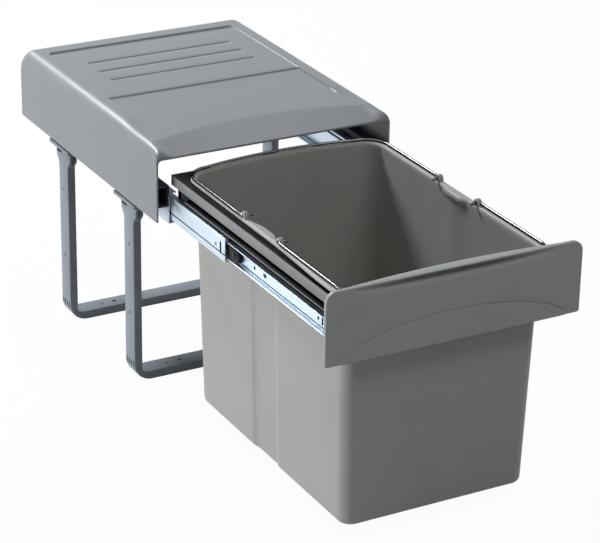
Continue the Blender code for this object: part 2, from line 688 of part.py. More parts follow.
def make_member(name, outline, front, length):
    """A slide member: its section drawn along Y."""
    bm = bmesh.new()
    add_prism(bm, "Y", outline, front, front + length)
    return to_object(name, bm, ZINC)


def add_member_holes(bm, side, front, length, half_height, web, shares):
    """Cutters for a member's slots, given as shares of a length behind its front and of its height."""
    for place_share, length_share, height_share in shares:
        y = front + length * place_share
        half_length = length * length_share / 2
        half = half_height * height_share
        outline = rounded_rectangle(
            (y - half_length, SLIDE_CENTRE - half), (y + half_length, SLIDE_CENTRE + half),
            min(half_length, half) * (1 - MEMBER_HOLE_FLAT_SHARE), MEMBER_HOLE_STEPS,
        )
        add_prism(bm, "X", outline, *slide_x(side, web - CUT_OVERRUN, web + SHEET + CUT_OVERRUN))


def make_slide(side, word):
    """The three members, two ball cages, rear buffer, release lever and its pin of one slide."""
    front = COVER_FRONT + SLIDE_SETBACK
    outer = make_member(
        f"{word}_outer_slide",
        channel(side, 0.0, SHEET, OUTER_FLANGE_END, OUTER_HALF_HEIGHT, OUTER_LIP_HEIGHT),
        front, SLIDE_LENGTH + OUTER_EXTRA_LENGTH,
    )
    bm = bmesh.new()
    for y in rail_screw_places():
        add_cylinder(
            bm, "X", (y, RAIL_SCREW_LEVEL), SCREW_RADIUS + SCREW_CLEARANCE,
            *slide_x(side, -CUT_OVERRUN, SHEET + CUT_OVERRUN),
        )
    cut(outer, bm, "screw_holes")
    middle_front = front + INTERMEDIATE_SHIFT
    middle = make_member(
        f"{word}_intermediate_slide",
        channel(side, MIDDLE_WEB, MIDDLE_WEB + SHEET, MIDDLE_FLANGE_END, MIDDLE_HALF_HEIGHT),
        middle_front, SLIDE_LENGTH,
    )
    bm = bmesh.new()
    add_member_holes(
        bm, side, middle_front, SLIDE_LENGTH, MIDDLE_HALF_HEIGHT, MIDDLE_WEB, INTERMEDIATE_HOLE_SHARES
    )
    cut(middle, bm, "holes")
    inner_front = front - SLIDE_TRAVEL
    web = SLIDE_THICKNESS - SHEET
    inner = make_member(
        f"{word}_inner_slide",
        channel(side, SLIDE_THICKNESS, web, INNER_FLANGE_START, INNER_HALF_HEIGHT),
        inner_front, SLIDE_LENGTH,
    )
    bm = bmesh.new()
    add_member_holes(bm, side, inner_front, LEVER_SETBACK, INNER_HALF_HEIGHT, web, INNER_HOLE_SHARES)
    add_fastener_holes(bm, side, web)
    cut(inner, bm, "holes")
    make_cage(side, f"{word}_outer_ball_cage", front + OUTER_CAGE_SETBACK, OUTER_CAGE_WEB, OUTER_CAGE_END,
              OUTER_HALF_HEIGHT - SHEET, BIG_BALL_RADIUS)
    make_cage(side, f"{word}_inner_ball_cage", middle_front + INNER_CAGE_SETBACK, INNER_CAGE_WEB,
              INNER_CAGE_END, MIDDLE_HALF_HEIGHT - SHEET, SMALL_BALL_RADIUS)
    make_buffer(side, word, front)
    make_lever(side, word)


def add_fastener_holes(bm, side, web):
    """Cutters in an inner member for the carrier's screws and the lever's pin."""
    through = slide_x(side, web - CUT_OVERRUN, web + SHEET + CUT_OVERRUN)
    for y in carrier_screw_places():
        add_cylinder(bm, "X", (y, SLIDE_CENTRE), SCREW_RADIUS + SCREW_CLEARANCE, *through)
    spot = (COVER_FRONT + LEVER_FRONT + LEVER_PIVOT_BACK, SLIDE_CENTRE)
    add_cylinder(bm, "X", spot, LEVER_PIN_RADIUS + SCREW_CLEARANCE, *through)


def make_cage(side, name, front, web, end, race, ball_radius):
    """A ball cage: a thin channel with a row of balls in each flange, under a race of that height."""
    level = race - FIT_GAP - ball_radius
    half_sheet = CAGE_SHEET / 2
    upper = [
        (web, level + half_sheet), (end, level + half_sheet),
        (end, level - half_sheet), (web + CAGE_SHEET, level - half_sheet),
    ]
    lower = [(distance, -height) for distance, height in reversed(upper)]
    outline = [(side * (SLIDE_OUTER_FACE - s), SLIDE_CENTRE + z) for s, z in upper + lower]
    bm = bmesh.new()
    add_prism(bm, "Y", outline, front, front + CAGE_LENGTH)
    cage = to_object(name, bm, BALL_STEEL)
    balls = bmesh.new()
    middle = side * (SLIDE_OUTER_FACE - (web + CAGE_SHEET + end) / 2)
    for i in range(CAGE_BALL_COUNT):
        y = front + CAGE_LENGTH * (2 * i + 1) / (2 * CAGE_BALL_COUNT)
        for height in (level, -level):
            spot = Matrix.Translation((middle, y, SLIDE_CENTRE + height))
            bmesh.ops.create_uvsphere(
                balls, u_segments=BALL_SIDES, v_segments=BALL_RINGS, radius=ball_radius, matrix=spot
            )
    join(cage, balls, "balls")
    return cage


def make_buffer(side, word, slide_front):
    """The plastic block at the rear end of an outer member that stops the closing drawer."""
    bm = bmesh.new()
    rear = slide_front + SLIDE_LENGTH + OUTER_EXTRA_LENGTH - BUFFER_SETBACK
    height = OUTER_HALF_HEIGHT - SHEET - FIT_GAP
    xs = slide_x(side, SHEET + FIT_GAP, OUTER_FLANGE_END - SHEET - FIT_GAP)
    add_box(bm, (xs[0], rear - BUFFER_LENGTH, SLIDE_CENTRE - height), (xs[1], rear, SLIDE_CENTRE + height))
    return to_object(f"{word}_rear_buffer", bm, BLACK_PLASTIC)


def make_lever(side, word):
    """The release lever in the channel of an inner member, and the pin that it turns on."""
    front = COVER_FRONT + LEVER_FRONT
    rear = front + LEVER_LENGTH
    neck = front + LEVER_NOSE_LENGTH
    radius = LEVER_HALF_HEIGHT
    outline = arc((front + radius, SLIDE_CENTRE), radius, 270, 90, NOSE_STEPS)
    outline += [
        (neck, SLIDE_CENTRE + LEVER_HALF_HEIGHT),
        (neck + LEVER_TAIL_HALF_HEIGHT, SLIDE_CENTRE + LEVER_TAIL_HALF_HEIGHT),
        (rear, SLIDE_CENTRE + LEVER_TAIL_HALF_HEIGHT), (rear, SLIDE_CENTRE - LEVER_TAIL_HALF_HEIGHT),
        (neck + LEVER_TAIL_HALF_HEIGHT, SLIDE_CENTRE - LEVER_TAIL_HALF_HEIGHT),
        (neck, SLIDE_CENTRE - LEVER_HALF_HEIGHT),
    ]
    pivot = (front + LEVER_PIVOT_BACK, SLIDE_CENTRE)
    web = SLIDE_THICKNESS - SHEET
    bm = bmesh.new()
    add_prism(bm, "X", outline, *slide_x(side, LEVER_START, web - FIT_GAP))
    origin = (side * (SLIDE_OUTER_FACE - LEVER_START), *pivot)
    lever = to_object(f"{word}_release_lever", bm, BLACK_PLASTIC, origin)
    bm = bmesh.new()
    hole = LEVER_PIN_RADIUS + SCREW_CLEARANCE
    add_cylinder(bm, "X", pivot, hole, *slide_x(side, LEVER_START - CUT_OVERRUN, web + CUT_OVERRUN))
    cut(lever, bm, "pin_hole")
    bm = bmesh.new()
    head = LEVER_START - FIT_GAP - LEVER_PIN_HEAD_HEIGHT
    near = head + LEVER_PIN_HEAD_HEIGHT / 2
    add_cylinder(bm, "X", pivot, LEVER_PIN_RADIUS, *slide_x(side, near, SLIDE_THICKNESS))
    pin = to_object(f"{word}_lever_pin", bm, SCREW_STEEL)
    bm = bmesh.new()
    add_cylinder(bm, "X", pivot, LEVER_PIN_HEAD_RADIUS, *slide_x(side, head, head + LEVER_PIN_HEAD_HEIGHT))
    join(pin, bm, "head")
    return lever


def bin_section(z):
    """Half width, front and rear of the bin's drafted outer wall at a height."""
    share = (RIM_TOP - z) / BIN_HEIGHT
    half = BIN_TOP_HALF_WIDTH - BIN_SIDE_DRAFT * share
    front = BIN_TOP_FRONT + BIN_FRONT_DRAFT * share
    rear = BIN_TOP_REAR - BIN_REAR_DRAFT * share
    return half, front, rear


def bin_outline(z, grow=0.0, waist=True):
    """Outline of the bin at a height: round corners, a bowed rear and a waist in each side."""
    half, front, rear = bin_section(z)
    recess = half - WAIST_HALF_WIDTH if waist else 0.0
    half += grow
    front += COVER_FRONT - (grow * RIM_FRONT_SHARE if grow > 0 else grow)
    rear += COVER_FRONT + grow
    radius = BIN_CORNER_RADIUS + grow
    steps = BIN_CORNER_STEPS
    middle = COVER_FRONT + WAIST_PLACE
    right = []
    for i in range(WAIST_STEPS + 1):
        share = 2 * i / WAIST_STEPS - 1
        right.append((half - recess * (1 - share * share), middle + WAIST_HALF_LENGTH * share))
    flat = half - radius
    bow = []
    for i in range(1, steps + 1):
        share = 1 - 2 * i / (steps + 1)
        bow.append((flat * share, rear + BIN_REAR_BOW * (1 - share * share)))
    points = arc((flat, front + radius), radius, -90, 0, steps) + right
    points += arc((flat, rear - radius), radius, 0, 90, steps) + bow
    points += arc((-flat, rear - radius), radius, 90, 180, steps)
    points += [(-x, y) for x, y in reversed(right)]
    points += arc((-flat, front + radius), radius, 180, 270, steps)
    return points


def add_ring(bm, outline, z):
    """Add the vertices of an outline at a height."""
    return [bm.verts.new((x, y, z)) for x, y in outline]


def bridge_rings(bm, rings):
    """Join rings of equal length, one after the other."""
    for first, second in zip(rings, rings[1:]):
        count = len(first)
        for i in range(count):
            j = (i + 1) % count
            bm.faces.new((first[i], first[j], second[j], second[i]))


def make_bin():
    """The waste bin: a drafted tub with a waist and a rim that hangs on the carrier frame."""
    bm = bmesh.new()
    under_rim = RIM_TOP - RIM_PLATE
    floor = BIN_BOTTOM + BIN_WALL
    fillet = BIN_FOOT_FILLET
    lip_inner = RIM_REACH - RIM_LIP_WALL
    rings = [
        add_ring(bm, bin_outline(BIN_BOTTOM, -fillet), BIN_BOTTOM),
        add_ring(bm, bin_outline(BIN_BOTTOM + fillet), BIN_BOTTOM + fillet),
        add_ring(bm, bin_outline(under_rim), under_rim),
        add_ring(bm, bin_outline(RIM_TOP, lip_inner, False), under_rim),
        add_ring(bm, bin_outline(RIM_TOP, lip_inner, False), RIM_LIP_BOTTOM),
        add_ring(bm, bin_outline(RIM_TOP, RIM_REACH, False), RIM_LIP_BOTTOM),
        add_ring(bm, bin_outline(RIM_TOP, RIM_REACH, False), RIM_TOP - RIM_EDGE),
        add_ring(bm, bin_outline(RIM_TOP, RIM_REACH - RIM_EDGE, False), RIM_TOP),
        add_ring(bm, bin_outline(RIM_TOP, -BIN_WALL + RIM_EDGE), RIM_TOP),
        add_ring(bm, bin_outline(RIM_TOP - RIM_EDGE, -BIN_WALL), RIM_TOP - RIM_EDGE),
        add_ring(bm, bin_outline(floor + fillet, -BIN_WALL), floor + fillet),
        add_ring(bm, bin_outline(floor, -BIN_WALL - fillet), floor),
    ]
    bridge_rings(bm, rings)
    bm.faces.new(list(reversed(rings[0])))
    bm.faces.new(rings[-1])
    waste_bin = to_object("waste_bin", bm, GREY_BIN)
    smooth(waste_bin)
    for pivot, end in ((REAR_PIVOT, "rear"), (FRONT_PIVOT, "front")):
        for side, word in ((-1, "left"), (1, "right")):
            bm = bmesh.new()
            add_lug(bm, side, COVER_FRONT + pivot)
            join(waste_bin, bm, f"{word}_{end}_lug")
    bm = bmesh.new()
    for pivot in (REAR_PIVOT, FRONT_PIVOT):
        for side in (-1, 1):
            xs = sorted((side * (LUG_OUTER + CUT_OVERRUN), side * (LUG_OUTER - LUG_LENGTH - CUT_OVERRUN)))
            spot = (COVER_FRONT + pivot, WIRE_HEIGHT)
            add_cylinder(bm, "X", spot, WIRE_RADIUS + FIT_GAP, *xs, sides=WIRE_SIDES)
    cut(waste_bin, bm, "lug_holes")
    return waste_bin


def add_lug(bm, side, middle):
    """A lug on the rim that a bail's pin turns in."""
    crown = LUG_HALF_WIDTH
    outline = [(middle - crown, RIM_TOP - JOIN_OVERLAP)]
    outline += arc((middle, WIRE_HEIGHT), crown, 180, 0, NOSE_STEPS)
    outline.append((middle + crown, RIM_TOP - JOIN_OVERLAP))
    xs = sorted((side * LUG_OUTER, side * (LUG_OUTER - LUG_LENGTH)))
    add_prism(bm, "X", outline, *xs)


def bail_route(pivot, end, bow):
    """Half of a bail's route, from the pin's inner end to the middle of the far side."""
    outward = 1 if end > pivot else -1
    small = BAIL_BEND_RADIUS
    large = BAIL_CORNER_RADIUS
    route = [(BAIL_PIN_INNER, pivot)]
    for i in range(BEND_STEPS + 1):
        angle = math.pi / 2 * i / BEND_STEPS
        x = BAIL_OUTER - small + small * math.sin(angle)
        route.append((x, pivot + outward * small * (1 - math.cos(angle))))
    for i in range(BEND_STEPS + 1):
        angle = math.pi / 2 * i / BEND_STEPS
        x = BAIL_OUTER - large + large * math.cos(angle)
        route.append((x, end - outward * large * (1 - math.sin(angle))))
    flat = BAIL_OUTER - large
    for i in range(1, BEND_STEPS):
        share = 1 - i / BEND_STEPS
        route.append((flat * share, end + outward * bow * (1 - share * share)))
    route.append((0.0, end + outward * bow))
    return route


def make_bail(name, pivot_place, end_place, bow):
    """A wire bail that lies on the rim and turns about the pins at its two ends."""
    half = bail_route(COVER_FRONT + pivot_place, COVER_FRONT + end_place, bow)
    route = half + [(-x, y) for x, y in reversed(half[:-1])]
    origin = Vector((0.0, COVER_FRONT + pivot_place, WIRE_HEIGHT))
    curve = bpy.data.curves.new(name, "CURVE")
    curve.dimensions = "3D"
    curve.bevel_depth = WIRE_RADIUS
    curve.bevel_resolution = WIRE_RESOLUTION
    curve.use_fill_caps = True
    spline = curve.splines.new("POLY")
    spline.points.add(len(route) - 1)
    for point, (x, y) in zip(spline.points, route):
        spot = Vector((x, y, WIRE_HEIGHT)) - origin
        point.co = (*spot, 1.0)
    bail = bpy.data.objects.new(name, curve)
    bail.location = origin
    bpy.context.scene.collection.objects.link(bail)
    curve.materials.append(material(CHROME))
    return bail


def make_carrier():
    """The carrier frame: a ring round the bin with a web on each inner slide member."""
    front = COVER_FRONT + CARRIER_FRONT
    rear = COVER_FRONT + CARRIER_REAR_REACH
    skirt_bottom = CARRIER_TOP - CARRIER_SKIRT_HEIGHT
    plate_bottom = CARRIER_TOP - CARRIER_WALL
    bm = bmesh.new()
    add_box(bm, (-CARRIER_OUTER, front, plate_bottom), (CARRIER_OUTER, rear, CARRIER_TOP))
    carrier = to_object("carrier_frame", bm, GREY_PANEL)
    low = plate_bottom + JOIN_OVERLAP
    for side, word in ((-1, "left"), (1, "right")):
        web_front = front + JOIN_OVERLAP
        bm = bmesh.new()
        side_box(bm, side, CARRIER_WEB_INNER - CARRIER_WALL, CARRIER_WEB_OUTER, web_front,
                 rear - CARRIER_WEB_SETBACK, CARRIER_TOP - CARRIER_WEB_HEIGHT, low)
        join(carrier, bm, f"{word}_web")
        bm = bmesh.new()
        side_box(bm, side, CARRIER_OUTER - CARRIER_WALL, CARRIER_OUTER, front, rear, skirt_bottom, low)
        join(carrier, bm, f"{word}_skirt")
        bm = bmesh.new()
        side_box(bm, side, CARRIER_WEB_OUTER - JOIN_OVERLAP, CARRIER_OUTER + CARRIER_RIB_REACH, web_front,
                 rear - CARRIER_RIB_SETBACK, CARRIER_RIB_BOTTOM, CARRIER_RIB_BOTTOM + CARRIER_RIB_HEIGHT)
        join(carrier, bm, f"{word}_rib")
    bm = bmesh.new()
    half = CARRIER_WEB_OUTER - JOIN_OVERLAP
    bottom = CARRIER_TOP - CARRIER_FRONT_WEB_HEIGHT
    add_box(bm, (-half, front, bottom), (half, front + CARRIER_WEB_WALL, low))
    join(carrier, bm, "front_web")
    bm = bmesh.new()
    bottom = CARRIER_TOP - CARRIER_REAR_WEB_HEIGHT
    add_box(bm, (-half, rear - CARRIER_WALL, bottom), (half, rear, low))
    join(carrier, bm, "rear_web")
    bm = bmesh.new()
    half = CARRIER_OUTER - JOIN_OVERLAP
    add_box(bm, (-half, rear - CARRIER_WALL, skirt_bottom), (half, rear - JOIN_OVERLAP, low))
    join(carrier, bm, "rear_skirt")
    bm = bmesh.new()
    outline = bin_outline(CARRIER_TOP, BIN_SEAT_GAP, False)
    add_prism(bm, "Z", outline, BIN_BOTTOM, RIM_TOP)
    cut(carrier, bm, "bin_space")
    cut(carrier, carrier_holes(front), "screw_holes")
    return carrier


def carrier_holes(front):
    """Cutters for the screws of the inner slide members and of the front panel."""
    bm = bmesh.new()
    hole = SCREW_RADIUS + SCREW_CLEARANCE
    for side in (-1, 1):
        xs = sorted((side * (CARRIER_WEB_INNER - CARRIER_WALL), side * (CARRIER_WEB_OUTER + CUT_OVERRUN)))
        for y in carrier_screw_places():
            add_cylinder(bm, "X", (y, SLIDE_CENTRE), hole, *xs)
    for share in PANEL_SCREW_SHARES:
        add_cylinder(bm, "Y", (CARRIER_WEB_INNER * share, PANEL_SCREW_LEVEL), hole, front - CUT_OVERRUN,
                     front + CARRIER_WEB_WALL + CUT_OVERRUN)
    return bm


def arch(half_width, foot, rise, steps):
    """A flat arch: points of a parabola from the left foot to the right one."""
    points = []
    for i in range(steps + 1):
        share = 2 * i / steps - 1
        points.append((half_width * share, foot + rise * (1 - share * share)))
    return points


def make_panel():
    """The front panel: a plate with a raised arch at its foot and a grip along its top edge."""
    front = COVER_FRONT + PANEL_FRONT
    back = COVER_FRONT + PANEL_BACK
    half = PANEL_WIDTH / 2
    big = PANEL_CORNER_RADIUS
    small = PANEL_FOOT_RADIUS
    outline = arc((half - small, PANEL_BOTTOM + small), small, -90, 0, 2)
    outline += arc((half - big, PANEL_TOP - big), big, 0, 90, BEND_STEPS)
    outline += arc((big - half, PANEL_TOP - big), big, 90, 180, BEND_STEPS)
    outline += arc((small - half, PANEL_BOTTOM + small), small, 180, 270, 2)
    bm = bmesh.new()
    add_prism(bm, "Y", outline, front, back)
    panel = to_object("front_panel", bm, GREY_PANEL)
    bm = bmesh.new()
    bulge = arch(GRIP_HALF_WIDTH, back - JOIN_OVERLAP, PANEL_BULGE + JOIN_OVERLAP, ARC_STEPS)
    add_prism(bm, "Z", bulge, PANEL_TOP - PANEL_BULGE_HEIGHT, PANEL_TOP)
    join(panel, bm, "bulge")
    bm = bmesh.new()
    grip_half = GRIP_HALF_WIDTH - PANEL_WALL
    grip = arch(grip_half, front, GRIP_DEPTH, ARC_STEPS)
    grip += [(grip_half, front - CUT_OVERRUN), (-grip_half, front - CUT_OVERRUN)]
    lip = PANEL_TOP - GRIP_LIP
    add_prism(bm, "Z", grip, lip - GRIP_HEIGHT, lip)
    cut(panel, bm, "grip")
    bm = bmesh.new()
    face = arch(half - PANEL_ARC_MARGIN, PANEL_BOTTOM, PANEL_ARC_RISE, ARC_STEPS)
    add_prism(bm, "Y", face, front - PANEL_ARC_STEP, front + JOIN_OVERLAP)
    join(panel, bm, "arch")
    bm = bmesh.new()
    hole = SCREW_RADIUS + SCREW_CLEARANCE
    for share in PANEL_SCREW_SHARES:
        spot = (CARRIER_WEB_INNER * share, PANEL_SCREW_LEVEL)
        add_cylinder(bm, "Y", spot, hole, front + PANEL_SCREW_TIP_GAP, back + CUT_OVERRUN)
    cut(panel, bm, "screw_holes")
    return panel


def make_screws(name, axis, spots, head_start, head_end, tip):
    """Screws of one group: each has a round head from head_start to head_end and a shank to tip.

    Each spot is the two cross coordinates and the direction of the coordinates along the axis.
    """
    for number, (first, second, direction) in enumerate(spots, 1):
        bm = bmesh.new()
        rings = []
        for radius, along in (
            (SCREW_HEAD_RADIUS, head_start), (SCREW_HEAD_RADIUS, head_end),
            (SCREW_RADIUS, head_end), (SCREW_RADIUS, tip),
        ):
            points = circle((first, second), radius, HOLE_SIDES)
            rings.append([bm.verts.new(place(axis, a, b, direction * along)) for a, b in points])
        bridge_rings(bm, rings)
        bm.faces.new(rings[0])
        bm.faces.new(rings[-1])
        to_object(f"{name}_{number}", bm, SCREW_STEEL)


def make_all_screws():
    """The screws: slides to rails, slides to the carrier, legs to rails and panel to carrier."""
    for side, word in ((-1, "left"), (1, "right")):
        spots = [(y, RAIL_SCREW_LEVEL, side) for y in rail_screw_places()]
        head = RAIL_INNER + RAIL_WALL + FIT_GAP
        tip = SLIDE_OUTER_FACE - SHEET
        make_screws(f"{word}_rail_screw", "X", spots, head + SCREW_HEAD_HEIGHT, head, tip)
        spots = [(y, SLIDE_CENTRE, side) for y in carrier_screw_places()]
        head = SLIDE_INNER_FACE + SHEET + FIT_GAP
        tip = CARRIER_WEB_INNER + FIT_GAP
        make_screws(f"{word}_carrier_screw", "X", spots, head + SCREW_HEAD_HEIGHT, head, tip)
    head = RAIL_BOTTOM + RAIL_WALL + FIT_GAP
    tip = LEG_TOP - LEG_SCREW_LENGTH
    for name, distance in FRAME_PLACES:
        y = COVER_FRONT + distance + FRAME_DEPTH / 2
        spots = [(side * LEG_MIDDLE, y, 1) for side in (-1, 1)]
        make_screws(f"{name}_frame_screw", "Z", spots, head + SCREW_HEAD_HEIGHT, head, tip)
    head = COVER_FRONT + CARRIER_FRONT + CARRIER_WEB_WALL + FIT_GAP
    spots = [(CARRIER_WEB_INNER * share, PANEL_SCREW_LEVEL, 1) for share in PANEL_SCREW_SHARES]
    tip = COVER_FRONT + PANEL_FRONT + 2 * PANEL_SCREW_TIP_GAP
    make_screws("panel_screw", "Y", spots, head + SCREW_HEAD_HEIGHT, head, tip)


def main():
    """Build every piece of the waste bin."""
    clear_scene()
    make_cover()
    for name, distance in FRAME_PLACES:
        make_floor_frame(f"{name}_floor_frame", distance)
    for side, word in ((-1, "left"), (1, "right")):
        make_side_rail(side, word)
        make_slide(side, word)
    make_carrier()
    make_panel()
    make_bin()
    make_bail("rear_bail", REAR_PIVOT, REAR_BAIL_END, BIN_REAR_BOW)
    make_bail("front_bail", FRONT_PIVOT, FRONT_BAIL_END, 0.0)
    make_all_screws()


main()
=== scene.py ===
"""Looks of the built-in pull-out waste bin: finer meshes, materials, studio and camera."""
import json
import math

import bmesh
import bpy
from mathutils import Matrix, Vector

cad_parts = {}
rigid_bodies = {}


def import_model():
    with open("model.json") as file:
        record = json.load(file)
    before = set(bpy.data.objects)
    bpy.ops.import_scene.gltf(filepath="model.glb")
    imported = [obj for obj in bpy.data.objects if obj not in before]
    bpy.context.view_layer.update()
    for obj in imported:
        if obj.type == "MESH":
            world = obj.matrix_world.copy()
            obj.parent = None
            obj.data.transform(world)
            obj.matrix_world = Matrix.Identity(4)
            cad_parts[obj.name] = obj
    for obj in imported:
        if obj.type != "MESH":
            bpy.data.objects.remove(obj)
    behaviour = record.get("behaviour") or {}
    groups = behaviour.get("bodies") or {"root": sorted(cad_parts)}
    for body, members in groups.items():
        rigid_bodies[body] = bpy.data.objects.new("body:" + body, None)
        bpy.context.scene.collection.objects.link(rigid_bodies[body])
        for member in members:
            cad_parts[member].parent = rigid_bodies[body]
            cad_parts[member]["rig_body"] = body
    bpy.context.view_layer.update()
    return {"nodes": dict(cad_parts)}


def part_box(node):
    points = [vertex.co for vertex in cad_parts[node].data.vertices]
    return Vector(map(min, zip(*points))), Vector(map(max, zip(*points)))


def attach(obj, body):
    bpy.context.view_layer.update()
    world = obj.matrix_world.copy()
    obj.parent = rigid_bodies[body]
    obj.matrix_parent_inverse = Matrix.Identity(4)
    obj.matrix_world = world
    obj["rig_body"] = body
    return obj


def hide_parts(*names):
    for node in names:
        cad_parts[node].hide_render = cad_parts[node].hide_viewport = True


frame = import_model()
NODES = frame["nodes"]
SIDES = ((-1, "left"), (1, "right"))

# Camera, in metres and degrees, with its focal length in pixels of a picture this wide
CAMERA_PLACE = (-1.4673, -2.7265, 1.5495)
CAMERA_YAW = 28.92
CAMERA_PITCH = 23.98
CAMERA_ROLL = 1.02
CAMERA_REACH = 50.0
FOCAL_PIXELS = 2470.77
FRAME_WIDTH = 600
SENSOR = 36.0

# Lamps: name, place, target, size, power and colour
LAMPS = (("key", (-2.55, 0.75, 0.24), (0.0, -0.1, 0.22), (1.0, 0.4), 42.0, (1.0, 1.0, 1.0)),
         ("back", (-0.6, 2.3, 2.35), (0.0, -0.1, 0.3), (0.7, 0.7), 90.0, (0.95, 0.98, 1.0)),
         ("front", (0.5, -1.9, 3.0), (0.0, -0.1, 0.25), (1.0, 1.0), 20.0, (1.0, 1.0, 1.0)))

# Studio
SEEING_RAYS = ("Is Camera Ray", "Is Glossy Ray", "Is Transmission Ray")
WHITE = (1.0, 1.0, 1.0, 1.0)
AMBIENT_COLOUR = (0.95, 0.97, 1.0, 1.0)
AMBIENT_STRENGTH = 0.142
FLOOR_HALF = 6.0
FLOOR_MATTE = (0.55, 0.56, 0.57, 1.0)
FLOOR_BRIGHT = (0.92, 0.92, 0.92, 1.0)
FLOOR_GLOW = 0.96

# Materials: scales of the noises, widths and shades of the worn edges
NOISE_RANGE = (0.3, 0.7)
CLOUD_SCALE = 14.0
SPECK_SCALE = 420.0
GRAIN_SCALE = 900.0
METAL_CLOUD_SCALE = 40.0
ROLLING_SCALE = 700.0
ROLLING_BUMP = 0.4
COARSE_DETAIL = 4.0
FINE_DETAIL = 2.0
EDGE_COSINES = (0.99, 0.80)
EDGE_SAMPLES = 6
PLASTIC_EDGE = 0.0012
METAL_EDGE = 0.0006
SPECK_SHARE = 0.10
SPECK_SHADE = 1.35
WORN_SHADE = 1.7
ROUGHNESS_SWING = 0.05
METAL_ROUGHNESS = (0.8, 1.25)

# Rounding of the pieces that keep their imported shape
WELD = 0.000002
FLAT_ANGLE = 0.5
BEVEL_ANGLE = 30.0

# Cover
COVER_LOW, COVER_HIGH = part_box("cover")
COVER_FRONT = COVER_LOW.y
COVER_DEPTH = COVER_HIGH.y - COVER_LOW.y
COVER_HALF = COVER_HIGH.x
COVER_TOP = COVER_HIGH.z
SKIRT_BOTTOM = COVER_LOW.z
COVER_WALL = 0.0025
COVER_TOP_WALL = 0.0045
LIP_WALL = 0.0025
LIP_DROP = 0.0125
EDGE_RADIUS = 0.0175
RIM_ROUND = 0.0007
FASCIA_CENTRE = 0.090
FASCIA_SIDE = 0.045
CREASE_SOFT = 0.00035
FRONT_TRAY = 0.214
FRONT_TRAY_DEPTH = 0.0030
REAR_TRAY_DEPTH = 0.0012
REAR_DIP = 0.0013
REAR_DIP_START = 0.400
BORDER_FADE_START = 0.132
BORDER_FADE_END = 0.088
BEAD_PLACE = 0.1545
BEAD_DEPTH = 0.00028
BEAD_HALF = 0.0022
BEAD_FADE = 0.03
BEAD_END_FADE = 0.004
FRONT_EDGE_RADIUS = 0.0085
TIGHT_FROM = 0.022
SIDE_DROP = 0.0122
SIDE_ROUND = 0.030
SIDE_BLEND_START = 0.150
SIDE_BLEND_END = 0.174
SKIRT_FADE = 1.15
TRAY_HALF = 0.149
TRAY_REAR = 0.423
TRAY_CORNER = 0.007
STEP_SOFT = 0.0009
GROOVES = (0.282, 0.321, 0.360)
GROOVE_HALF = 0.112
GROOVE_DEPTH = 0.0019
GROOVE_WIDTH = 0.0026
STRAIGHT_FROM = 0.125
# Its mesh lines: columns from the middle out in millimetres, rows as shares of the fascia and as
# distances from the front edge, and marks about a step or a groove in tenths of a millimetre
COVER_COLUMNS = (0, 14, 28, 42, 56, 70, 84, 98, 106, 109.5, 111, 112, 112.8, 113.6, 116, 124, 132, 138,
                 141, 142, 143, 144, 145, 146, 147, 147.8, 148.4, 148.8, 149.2, 149.6, 150.4, 152, 152.8,
                 153.4, 154, 154.5, 155, 155.6, 156.2, 157.4, 160)
RIM_ANGLES = (0, 30, 60)
FASCIA_ROWS = (0.03, 0.07, 0.12, 0.18, 0.25, 0.32, 0.4, 0.55, 0.66, 0.73, 0.76, 0.785, 0.8, 0.815, 0.84,
               0.88, 0.94, 0.975, 1.0, 1.025, 1.06)
FRONT_ROWS = (0.150, 0.175, 0.195, 0.207, 0.211)
MIDDLE_ROWS = (0.225, 0.245, 0.265, 0.276)
REAR_ROWS = (0.385, 0.400, 0.410, 0.415, 0.416, 0.417, 0.418, 0.419, 0.420, 0.421)
LAST_ROWS = (0.429, 0.438)
STEP_MARKS = (-10, -6, -3, 0, 3, 6, 10)
GROOVE_MARKS = (-32, -18, -14, -10, -6, -3, 0, 3, 6, 10, 14, 18, 32)
GROOVE_GAP_MARKS = (120, 270)
TRAY_END_MARKS = (-6, -3, 0, 3, 6, 12)

# Bin
BIN_BOTTOM = 0.024
BIN_TOP = 0.348
BIN_WALL = 0.0025
BIN_HALF = 0.1411
BIN_FRONT = -0.44015
BIN_REAR = -0.01795
SIDE_DRAFT = 0.0085
FRONT_DRAFT = 0.0055
REAR_DRAFT = 0.0085
REAR_BOW = 0.0115
FRONT_GROWTH = 0.5
CORNER = 0.030
FRONT_CORNER = 0.0185
FOOT_FILLET = 0.007
# Its waist, as depth, front ramp and rear ramp
WAIST_FRONT = -0.2635
WAIST_REAR = -0.1935
WAIST_MARGIN = 0.004
OUTER_WAIST = (0.0024, 0.009, 0.027)
WAIST_EDGE_POWER = 4
INNER_WAIST = (0.0010, 0.040, 0.040)
RIM_WAIST = (0.0052, 0.018, 0.030)
RIM_WAIST_FADE = 0.010
# Its rim
RIM_INWARD = 0.0042
RIM_DROP = 0.0052
RIM_FLARE = 0.0050
RIM_FLARE_FROM = -0.262
RIM_FLARE_LENGTH = 0.150
RIM_REACH = 0.0066
RIM_ROUNDING = 0.0040
RIM_SLOPE = 0.0028
RIM_PLATE = 0.0032
RIM_LIP_WALL = 0.0025
RIM_LIP_BOTTOM = 0.3443
RIM_CHAMFER = 0.0008
UNDER_RIM = ((0.0006, 0.0004), (0.0, 0.0018))
WALL_END = 0.002

